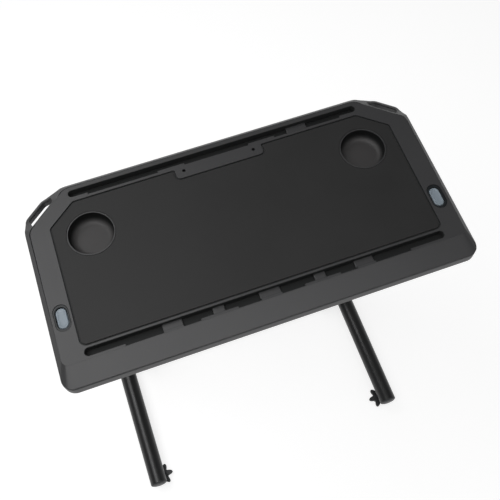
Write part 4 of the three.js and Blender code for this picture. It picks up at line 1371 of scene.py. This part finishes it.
        def oval(grow: float) -> Ring:
            """Makes the button's outline, grown all round."""
            return stadium(x, y, width + 2 * grow, length + 2 * grow)

        levels = [(oval(0), flange - thick),
                  *((oval(-inset), top - dip) for inset, dip in self.button_dish)]
        room = oval(-self.button_wall)
        radius, end = self.stem
        piece = self.maker.raw(loft("button", levels))
        piece.name = f"button_{word}_fine"
        self.maker.combine(piece, [loft("flange", [(oval(wide), flange - thick), (oval(wide), flange)])],
                           "UNION")
        self.maker.combine(piece, [loft("room", [(room, flange - thick - self.over),
                                                 (room, top - self.button_roof)])], "DIFFERENCE")
        self.maker.combine(piece, [rod("stem", radius, low.z, top - end, (x, y, 0), steps=32)], "UNION")
        self.maker.polish(piece, 0.0, angle=40)
        self.maker.finish(piece, f"button_{word}", Finish.BUTTON)

    def build(self) -> None:
        """Builds every piece of the top."""
        self.build_top()
        self.build_tray()
        self.build_posts()
        self.build_mat()
        self.build_wells()
        self.build_slots()
        self.build_buttons()


@dataclass
class Linkage:
    """The hidden release parts between the buttons and the gas springs."""

    maker: Maker
    coil_wire: float = 0.7
    coil_turns: int = 5
    turn_steps: int = 24
    wire_sides: int = 8
    press: float = 4.3
    pin_radius: float = 2.2

    def build(self) -> None:
        """Builds rockers, shafts, pins and the coiled button springs."""
        for word, _ in SIDES:
            self.maker.refine(f"release_rocker_{word}", Finish.NYLON, 0.5)
            self.maker.refine(f"release_shaft_{word}", Finish.STEEL, 0.4)
            low, high = corners_of(f"release_pin_{word}")
            middle = middle_of(f"release_pin_{word}")
            outline = profile([(0, low.z, 0), (self.pin_radius, low.z, 0.5),
                               (self.pin_radius, high.z, 0.9), (0, high.z, 0)])
            pin = turned("pin", outline, (middle.x, middle.y, 0), steps=32)
            self.maker.add(f"release_pin_{word}", pin, Finish.BRIGHT)
            self.build_spring(word)

    def build_spring(self, word: str) -> None:
        """Winds a button spring from one wire.

        Args:
            word: Left or right.
        """
        low, high = corners_of(f"button_spring_{word}")
        middle = (low + high) / 2
        radius = (high.x - low.x) / 2 - self.coil_wire
        steps = self.turn_steps * self.coil_turns
        bottom, top = low.z + self.coil_wire, high.z - self.coil_wire
        rings = []
        for step in range(steps + 1):
            angle = 2 * math.pi * step / self.turn_steps
            outward = Vector((math.cos(angle), math.sin(angle), 0))
            centre = Vector((middle.x, middle.y, bottom + (top - bottom) * step / steps)) + outward * radius
            ring = []
            for side in range(self.wire_sides):
                turn = 2 * math.pi * side / self.wire_sides
                offset = outward * math.cos(turn) + Vector((0, 0, 1)) * math.sin(turn)
                ring.append(centre + offset * self.coil_wire)
            rings.append(ring)
        spring = self.maker.add(f"button_spring_{word}", skin("spring", rings), Finish.BRIGHT)
        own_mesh(spring)


@dataclass
class Columns:
    """The telescopic columns with their gas springs, and the frame under the top."""

    maker: Maker
    fasteners: Fasteners
    outer_wall: float = 2.2
    inner_wall: float = 2.0
    arm_wall: float = 1.8
    bolt_radius: float = 5.0
    bolt_height: float = 3.0
    guide_bore: float = 21.4
    guide_skirt: float = 22.5
    guide_brim: float = 10.0
    head_bore: float = 5.3
    head_socket: float = 21.3
    head_plate: float = 8.0
    cylinder_radius: float = 14.0
    cylinder_bore: float = 12.0
    cylinder_end: float = 8.0
    gland_bore: float = 5.4
    rod_radius: float = 5.0
    rod_bore: float = 2.6
    rod_bore_depth: float = 42.0
    piston_radius: float = 11.6
    piston_length: float = 18.0
    stop_radius: float = 9.0
    stop_length: float = 7.0
    plug_gap: float = 0.2
    plug_length: float = 12.0
    bolt_shares: tuple = (0.12, 0.5, 0.88)

    def build(self) -> None:
        """Builds both columns and the underframe."""
        for word, _ in SIDES:
            axis = middle_of(f"outer_column_{word}")
            place = (axis.x, axis.y, 0)
            self.build_tubes(word, place)
            self.build_plastics(word, place)
            self.build_head(word, place)
            self.build_gas_spring(word, place)
        for node in ("underframe_crossbar", "support_arm_left", "support_arm_right"):
            self.maker.refine(node, Finish.STEEL, 0.9)
        self.build_arm_plugs()

    def build_tubes(self, word: str, place: Sequence[float]) -> None:
        """Builds the sliding tubes of one column.

        Args:
            word: Left or right.
            place: The column's axis, in millimetres.
        """
        for node, wall in (("outer_column", self.outer_wall), ("inner_column", self.inner_wall)):
            low, high = corners_of(f"{node}_{word}")
            radius = (high.y - low.y) / 2
            mesh = pipe(node, radius, radius - wall, low.z, high.z, place)
            self.maker.add(f"{node}_{word}", mesh, Finish.STEEL)

    def build_plastics(self, word: str, place: Sequence[float]) -> None:
        """Builds the guide collar and the glide of one column.

        Args:
            word: Left or right.
            place: The column's axis, in millimetres.
        """
        low, high = corners_of(f"column_collar_{word}")
        brim = (high.y - low.y) / 2
        seat = high.z - self.guide_brim
        bore, skirt = self.guide_bore, self.guide_skirt
        corners = [(bore, low.z, 0), (skirt, low.z, 0.4), (skirt, seat, 0), (brim, seat, 0.5),
                   (brim, high.z - 3, 1.2), (brim - 2.2, high.z, 1.2), (bore, high.z, 0.6),
                   (bore, low.z, 0)]
        self.maker.add(f"column_collar_{word}", turned("collar", profile(corners), place), Finish.NYLON)
        self.maker.refine(f"column_glide_{word}", Finish.NYLON, 0.3)

    def build_head(self, word: str, place: Sequence[float]) -> None:
        """Builds the socket that carries the top on one column.

        Args:
            word: Left or right.
            place: The column's axis, in millimetres.
        """
        low, high = corners_of(f"column_head_{word}")
        radius = (high.y - low.y) / 2
        plate = high.z - self.head_plate
        bore, socket = self.head_bore, self.head_socket
        corners = [(bore, high.z, 0), (bore, plate, 0), (socket, plate, 0), (socket, low.z, 0.8),
                   (radius - 4, low.z, 1.2), (radius, low.z + 6, 3.0), (radius, high.z, 0.8),
                   (bore, high.z, 0)]
        self.maker.add(f"column_head_{word}", turned("head", profile(corners), place), Finish.STEEL)

    def build_gas_spring(self, word: str, place: Sequence[float]) -> None:
        """Builds the cylinder and rod of one gas spring.

        Args:
            word: Left or right.
            place: The column's axis, in millimetres.
        """
        low, high = corners_of(f"gas_cylinder_{word}")
        outer, bore, gland = self.cylinder_radius, self.cylinder_bore, self.gland_bore
        roof, floor = high.z - self.cylinder_end, low.z + self.cylinder_end
        corners = [(0, low.z, 0), (outer, low.z, 1.5), (outer, high.z, 2), (gland, high.z, 0.5),
                   (gland, roof, 0), (bore, roof, 0), (bore, floor, 0), (0, floor, 0)]
        self.maker.add(f"gas_cylinder_{word}", turned("cylinder", profile(corners), place), Finish.STEEL)
        low, high = corners_of(f"gas_rod_{word}")
        collar = corners_of(f"inner_column_{word}")[1].z
        radius, piston, stop = self.rod_radius, self.piston_radius, self.stop_radius
        crown, ledge = low.z + self.piston_length, collar - self.stop_length
        bore, end = self.rod_bore, high.z - self.rod_bore_depth
        corners = [(0, low.z, 0), (piston, low.z, 0.8), (piston, crown, 0.8), (radius, crown, 0),
                   (radius, ledge, 0), (stop, ledge, 0.5), (stop, collar, 0.5), (radius, collar, 0),
                   (radius, high.z, 0.5), (bore, high.z, 0.3), (bore, end, 0), (0, end, 0)]
        self.maker.add(f"gas_rod_{word}", turned("rod", profile(corners), place, steps=48), Finish.BRIGHT)

    def build_arm_plugs(self) -> None:
        """Closes the front ends of the support arms and bolts the arms to the tray."""
        for word, _ in SIDES:
            low, high = corners_of(f"support_arm_{word}")
            wall = self.arm_wall + self.plug_gap
            plug = box_mesh("plug", (low.x + wall, low.y + self.plug_gap, low.z + wall),
                            (high.x - wall, low.y + self.plug_length, high.z - wall))
            self.maker.extra(f"arm_plug_{word}", f"support_arm_{word}", plug, Finish.NYLON, 0.8)
            middle = (low.x + high.x) / 2
            places = [(middle, low.y + share * (high.y - low.y), low.z) for share in self.bolt_shares]
            self.fasteners.add(f"arm_bolts_{word}", f"support_arm_{word}", places, (0, 0, -1),
                               self.bolt_radius, self.bolt_height)


@dataclass
class Base:
    """Legs, crossbar, column saddles, feet and wheels; the legs are drawn as full as in the photo."""

    maker: Maker
    fasteners: Fasteners
    leg_radius: float = 24.0
    leg_bore: float = 19.0
    crossbar_wall: float = 2.0
    knob_reach: float = 31.0
    knob_wave: float = 6.6
    weld_bead: float = 1.5
    weld_pitch: float = 1.5
    weld_steps: int = 72
    weld_gap: float = 0.4
    knob_lobes: int = 6
    knob_steps: int = 160
    knob_bore: float = 4.3
    bush_hole: float = 6.8
    cap_lip: float = 7.0
    cope_gap: float = 0.3
    cope_reach: float = 40.0
    saddle_bolt: Point = (4.5, 2.6)
    saddle_bolt_place: Point = (20.0, 34.0)
    pad_socket: Point = (4.4, 2.5)
    thread_root: float = 3.4
    thread_crest: float = 4.0
    thread_pitch: float = 1.25
    hub_bore: float = 4.4
    hub_web: float = 4.0
    hub_rim: float = 5.0
    spoke_holes: int = 6
    spoke_place: float = 13.2
    spoke_radius: float = 2.6
    spoke_reach: float = 12.0
    axle_radius: float = 4.0
    axle_head: float = 8.0
    axle_head_length: float = 4.0
    axle_socket: Point = (2.9, 2.4)
    tyre_bore: float = 22.3
    tread_groove: float = 3.2
    tread_depth: float = 1.2

    def build(self) -> None:
        """Builds the base."""
        self.build_crossbar()
        for word, _ in SIDES:
            self.build_leg(word)
            self.build_saddle(word)
            self.build_foot(word)
            self.build_wheel(word)

    def build_leg(self, word: str) -> None:
        """Builds a leg tube and its front cap.

        Args:
            word: Left or right.
        """
        low, high = corners_of(f"leg_tube_{word}")
        axis = (low + high) / 2
        radius = self.leg_radius
        place = (axis.x, 0, axis.z)
        foot = middle_of(f"foot_bush_{word}")
        top = corners_of(f"foot_bush_{word}")[1].z + 0.3
        hole = rod("hole", self.bush_hole, 0, top, (foot.x, foot.y, 0), steps=32)
        mesh = pipe("leg", radius, self.leg_bore, low.y, high.y, place, Axis.Y)
        self.maker.add(f"leg_tube_{word}", mesh, Finish.STEEL, 0.0, [hole])
        self.maker.refine(f"foot_bush_{word}", Finish.STEEL, 0.4)
        low, high = corners_of(f"leg_cap_{word}")
        neck, lip = self.leg_bore - 0.3, low.y + self.cap_lip
        corners = [(0, low.y, 0), (radius * 0.62, low.y, radius * 0.2), (radius, low.y + 4.2, 3.0),
                   (radius, lip, 0), (neck, lip, 0), (neck, high.y, 1), (0, high.y, 0)]
        self.maker.add(f"leg_cap_{word}", turned("cap", profile(corners, 8), place, Axis.Y), Finish.NYLON)

    def build_crossbar(self) -> None:
        """Builds the crossbar, coped to the legs, with its weld beads."""
        low, high = corners_of("base_crossbar")
        axis = (low + high) / 2
        radius = (high.y - low.y) / 2
        reach = middle_of("leg_tube_right").x
        mesh = pipe("crossbar", radius, radius - self.crossbar_wall, -reach, reach,
                    (0, axis.y, axis.z), Axis.X)
        cuts = []
        for word, _ in SIDES:
            leg = middle_of(f"leg_tube_{word}")
            cuts.append(rod("cope", self.leg_radius + self.cope_gap, axis.y - self.cope_reach,
                            axis.y + self.cope_reach, (leg.x, 0, leg.z), Axis.Y))
        self.maker.add("base_crossbar", mesh, Finish.STEEL, 0.0, cuts)
        self.build_welds(axis, radius, reach)

    def build_welds(self, axis: Vector, radius: float, reach: float) -> None:
        """Lays a rippled weld bead along both copes by Geometry Nodes.

        Args:
            axis: Middle of the crossbar in millimetres.
            radius: Radius of the crossbar.
            reach: Distance from the middle to a leg's axis.
        """
        tree = self.weld_tree()
        vertices, edges = [], []
        for sign in (-1, 1):
            start = len(vertices)
            for step in range(self.weld_steps):
                angle = 2 * math.pi * step / self.weld_steps
                across, up = radius * math.cos(angle), radius * math.sin(angle)
                x = reach - math.sqrt(self.leg_radius ** 2 - up ** 2) - self.weld_gap
                vertices.append(Vector((sign * x, axis.y + across, axis.z + up)) * MM)
                edges.append((start + step, start + (step + 1) % self.weld_steps))
        mesh = bpy.data.meshes.new("crossbar_welds")
        mesh.from_pydata(vertices, edges, [])
        self.maker.grow(mesh, "base_crossbar", tree, Finish.STEEL,
                        {"Bead": self.weld_bead * MM, "Pitch": self.weld_pitch * MM}, angle=60)

    def weld_tree(self) -> bpy.types.GeometryNodeTree:
        """Builds the tree that lays drops of weld along a path.

        Returns:
            The tree, with the drop's radius and pitch as inputs.
        """
        tree = open_tree("weld_bead", ("Bead", "Pitch"))
        inputs = add_node(tree, "NodeGroupInput").outputs
        path = add_node(tree, "GeometryNodeMeshToCurve", links={0: inputs["Geometry"]})
        drops = add_node(tree, "GeometryNodeResampleCurve", {"mode": "LENGTH"},
                         {"Curve": path.outputs[0], "Length": inputs["Pitch"]})
        drop = add_node(tree, "GeometryNodeMeshIcoSphere", {"Subdivisions": 2}, {"Radius": inputs["Bead"]})
        placed = add_node(tree, "GeometryNodeInstanceOnPoints",
                          links={"Points": drops.outputs[0], "Instance": drop.outputs[0]})
        close_tree(tree, inputs, placed)
        return tree

    def build_saddle(self, word: str) -> None:
        """Builds the casting under a column, with its bolts.

        Args:
            word: Left or right.
        """
        node = f"column_saddle_{word}"
        self.maker.refine(node, Finish.STEEL, 1.6, angle=30)
        low, high = corners_of(node)
        middle = (low + high) / 2
        beside, above = self.saddle_bolt_place
        places = [(middle.x + x, low.y, low.z + above) for x in (-beside, beside)]
        self.fasteners.add(f"saddle_bolts_{word}", node, places, (0, -1, 0), *self.saddle_bolt)

    def build_foot(self, word: str) -> None:
        """Builds a levelling foot: pad, stud and star knob.

        Args:
            word: Left or right.
        """
        low, high = corners_of(f"foot_pad_{word}")
        place = ((low.x + high.x) / 2, (low.y + high.y) / 2, 0)
        radius = (high.y - low.y) / 2
        socket, floor = self.pad_socket
        corners = [(0, low.z, 0), (radius, low.z, 0.6), (radius, high.z - 1.5, 1.2),
                   (radius - 3, high.z, 1.5), (socket, high.z, 0.5), (socket, floor, 0), (0, floor, 0)]
        self.maker.add(f"foot_pad_{word}", turned("pad", profile(corners), place), Finish.RUBBER)
        self.build_stud(word, place)
        self.build_knob(word, place)

    def build_stud(self, word: str, place: Sequence[float]) -> None:
        """Builds a stud with real thread rings.

        Args:
            word: Left or right.
            place: Its axis.
        """
        low, high = corners_of(f"foot_stud_{word}")
        root, crest, pitch = self.thread_root, self.thread_crest, self.thread_pitch
        outline: Ring = [(0, low.z), (root, low.z)]
        z = low.z + 1
        while z + pitch < high.z - 1:
            outline += [(root, z), (crest, z + pitch * 0.4), (crest, z + pitch * 0.6)]
            z += pitch
        outline += [(root, z), (root, high.z - 0.6), (2.8, high.z), (0, high.z)]
        self.maker.add(f"foot_stud_{word}", turned("stud", outline, place, steps=40), Finish.BRIGHT)

    def build_knob(self, word: str, place: Sequence[float]) -> None:
        """Builds a star knob with a raised rim and a dished face.

        Args:
            word: Left or right.
            place: Its axis.
        """
        low, high = corners_of(f"foot_knob_{word}")
        middle = self.knob_reach - self.knob_wave

        def star(inset: float) -> Ring:
            """Makes the knob's outline.

            Args:
                inset: How far it is moved inward, in millimetres.

            Returns:
                The outline.
            """
            ring: Ring = []
            for step in range(self.knob_steps):
                angle = 2 * math.pi * step / self.knob_steps
                wave = math.cos(self.knob_lobes * angle)
                radius = middle - inset + self.knob_wave * wave
                ring.append((place[0] + radius * math.cos(angle), place[1] + radius * math.sin(angle)))
            return ring

        rows = [(1.6, low.z), (0.5, low.z + 0.4), (0, low.z + 1.5), (0, high.z - 1.6),
                (0.4, high.z - 0.5), (1.3, high.z), (2.6, high.z), (3.4, high.z - 0.4), (4.2, high.z - 1.0)]
        bore = rod("bore", self.knob_bore, low.z - 2, high.z + 2, place, steps=32)
        self.maker.add(f"foot_knob_{word}", loft("knob", [(star(i), z) for i, z in rows]), Finish.NYLON,
                       0.0, [bore], angle=40)

    def build_wheel(self, word: str) -> None:
        """Builds a wheel: fork, axle, hub and tyre.

        Args:
            word: Left or right.
        """
        self.maker.refine(f"wheel_bracket_{word}", Finish.STEEL, 0.7, angle=30)
        centre = middle_of(f"wheel_hub_{word}")
        low, high = corners_of(f"wheel_hub_{word}")
        half, radius = (high.x - low.x) / 2, (high.z - low.z) / 2
        bore, web, rim = self.hub_bore, half - self.hub_web, radius - self.hub_rim
        corners = mirrored([(bore, -half, 0), (9, -half, 0.8), (9.6, -web, 1), (rim - 0.6, -web, 1),
                            (rim, -half, 0.8), (radius, -half, 0.5)])
        corners.append(corners[0])
        holes = []
        for spoke in range(self.spoke_holes):
            angle = 2 * math.pi * spoke / self.spoke_holes
            place = centre + Vector((0, math.cos(angle), math.sin(angle))) * self.spoke_place
            holes.append(rod("hole", self.spoke_radius, -self.spoke_reach, self.spoke_reach, place,
                             Axis.X, 24))
        self.maker.add(f"wheel_hub_{word}", turned("hub", profile(corners), centre, Axis.X), Finish.NYLON,
                       0.0, holes)
        self.build_tyre(word, centre)
        low, high = corners_of(f"wheel_axle_{word}")
        reach = (high.x - low.x) / 2
        shank, head, neck = self.axle_radius, self.axle_head, reach - self.axle_head_length
        corners = mirrored([(0, -reach, 0), (head - 0.4, -reach, 1.6), (head, -neck, 0.4),
                            (shank, -neck, 0)])
        socket, deep = self.axle_socket
        sockets = [rod("socket", socket, at - deep, at + deep, centre, Axis.X, 6)
                   for at in (-reach, reach)]
        self.maker.add(f"wheel_axle_{word}", turned("axle", profile(corners), centre, Axis.X, 48),
                       Finish.BRIGHT, 0.0, sockets)

    def build_tyre(self, word: str, centre: Vector) -> None:
        """Builds a tyre with two tread grooves.

        Args:
            word: Left or right.
            centre: The wheel's middle, in millimetres.
        """
        low, high = corners_of(f"wheel_tyre_{word}")
        half, radius, inner = (high.x - low.x) / 2, (high.z - low.z) / 2, self.tyre_bore
        groove, bottom = -self.tread_groove, radius - self.tread_depth
        corners = mirrored([(inner, 0, 0), (inner, -half, 0.6), (radius - 5, -half, 1.5),
                            (radius - 0.8, 2.4 - half, 2), (radius, groove - 0.9, 0.3),
                            (bottom, groove - 0.6, 0.2), (bottom, groove + 0.6, 0.2),
                            (radius, groove + 0.9, 0.3)])
        self.maker.add(f"wheel_tyre_{word}", turned("tyre", profile(corners), centre, Axis.X, 96),
                       Finish.RUBBER)


@dataclass
class Studio:
    """Camera, floor and light."""

    datum: Vector
    lens: float = 52.36
    camera_place: tuple[float, float, float] = (-180.7, -465.9, 1211.9)
    forward: tuple[float, float, float] = (0.12965, 0.40476, -0.90519)
    right: tuple[float, float, float] = (0.94328, -0.33174, -0.01323)
    ambient: float = 0.22
    ceiling: float = 0.25
    walls: float = 0.55
    floor_half: float = 12.0
    glow: float = 1.35
    glow_share: float = 0.56

    def build(self) -> None:
        """Builds the studio."""
        self.build_camera()
        self.build_floor()
        self.build_light()
        bpy.context.scene.view_settings.view_transform = "Standard"

    def build_camera(self) -> None:
        """Puts the camera at the photograph's angle."""
        data = bpy.data.cameras.new("camera")
        data.lens, data.sensor_width = self.lens, 36.0
        camera = bpy.data.objects.new("camera", data)
        forward, right = Vector(self.forward).normalized(), Vector(self.right)
        right = (right - forward * right.dot(forward)).normalized()
        up = right.cross(forward)
        turn = Matrix((right, up, -forward)).transposed().to_4x4()
        x, behind, above = self.camera_place
        place = Vector((x, self.datum.y + behind, self.datum.z + above)) * MM
        camera.matrix_world = Matrix.Translation(place) @ turn
        bpy.context.scene.collection.objects.link(camera)
        bpy.context.scene.camera = camera

    def build_floor(self) -> None:
        """Lays a white floor that keeps a faint shadow."""
        mesh = bpy.data.meshes.new("floor")
        size = self.floor_half
        mesh.from_pydata([(-size, -size, 0), (size, -size, 0), (size, size, 0), (-size, size, 0)], [],
                         [(0, 1, 2, 3)])
        floor = bpy.data.objects.new("floor", mesh)
        bpy.context.scene.collection.objects.link(floor)
        material = bpy.data.materials.new("white_paper_sweep")
        material.use_nodes = True
        tree = material.node_tree
        tree.nodes.clear()
        paper = add_node(tree, "ShaderNodeBsdfDiffuse", {"Color": linear("f4f4f4")})
        glow = add_node(tree, "ShaderNodeEmission", {"Color": (1, 1, 1, 1), "Strength": self.glow})
        share = add_node(tree, "ShaderNodeMath", {"operation": "MULTIPLY", 1: self.glow_share},
                         {0: self.seen(tree)})
        mixed = add_node(tree, "ShaderNodeMixShader", links={0: share.outputs[0], 1: paper.outputs[0],
                                                             2: glow.outputs[0]})
        add_node(tree, "ShaderNodeOutputMaterial", links={"Surface": mixed.outputs[0]})
        mesh.materials.append(material)

    def seen(self, tree: bpy.types.NodeTree) -> bpy.types.NodeSocket:
        """Finds the rays that show the background: to the camera, in gloss and through glass.

        Args:
            tree: The tree that takes the nodes.

        Returns:
            A factor that is 1 for such a ray.
        """
        ray = add_node(tree, "ShaderNodeLightPath").outputs
        gloss = add_node(tree, "ShaderNodeMath", {"operation": "MAXIMUM"},
                         {0: ray["Is Glossy Ray"], 1: ray["Is Transmission Ray"]})
        return add_node(tree, "ShaderNodeMath", {"operation": "MAXIMUM"},
                        {0: ray["Is Camera Ray"], 1: gloss.outputs[0]}).outputs[0]

    def build_light(self) -> None:
        """Lights the desk from a large soft box on the left, under a dim ceiling with pale walls."""
        world = bpy.data.worlds.new("studio")
        bpy.context.scene.world = world
        world.use_nodes = True
        tree = world.node_tree
        tree.nodes.clear()
        ray = add_node(tree, "ShaderNodeLightPath").outputs
        way = add_node(tree, "ShaderNodeTexCoord").outputs["Generated"]
        height = add_node(tree, "ShaderNodeSeparateXYZ", links={0: way}).outputs[2]
        walls = add_node(tree, "ShaderNodeMapRange", {1: 0.25, 2: 0.6, 3: self.walls, 4: self.ceiling},
                         {0: height})
        level = add_node(tree, "ShaderNodeMix", {"data_type": "FLOAT", 2: self.ambient},
                         {0: ray["Is Glossy Ray"], 3: walls.outputs[0]})
        shown = add_node(tree, "ShaderNodeMath", {"operation": "MAXIMUM"},
                         {0: ray["Is Camera Ray"], 1: ray["Is Transmission Ray"]})
        strength = add_node(tree, "ShaderNodeMix", {"data_type": "FLOAT", 3: 1.0},
                            {0: shown.outputs[0], 2: level.outputs[0]})
        light = add_node(tree, "ShaderNodeBackground", {"Color": (1, 1, 1, 1)},
                         {"Strength": strength.outputs[0]})
        add_node(tree, "ShaderNodeOutputWorld", links={"Surface": light.outputs[0]})
        self.softbox("key", (-1.05, 0.7, 3.0), (1.7, 1.9), 39.0)
        self.softbox("strip", (-0.35, -0.7, 2.9), (2.4, 0.9), 25.0)
        self.softbox("fill", (1.8, -2.2, 2.6), (2.0, 2.0), 5.0)

    def softbox(self, name: str, place: tuple[float, float, float], size: Point, power: float) -> None:
        """Adds a rectangular area lamp that faces down.

        Args:
            name: The lamp's name.
            place: Where it hangs, in metres.
            size: Its width and length in metres.
            power: Its power in watts.
        """
        data = bpy.data.lights.new(name, "AREA")
        data.shape = "RECTANGLE"
        data.size, data.size_y, data.energy = *size, power
        lamp = bpy.data.objects.new(name, data)
        lamp.location = place
        bpy.context.scene.collection.objects.link(lamp)


def main() -> None:
    """Builds the desk and its studio in order."""
    wardrobe = Wardrobe()
    maker = Maker(wardrobe)
    fasteners = Fasteners(maker)
    deck = Deck(maker)
    Studio(deck.datum).build()
    deck.build()
    Linkage(maker).build()
    Columns(maker, fasteners).build()
    Base(maker, fasteners).build()


if __name__ == "__main__":
    main()
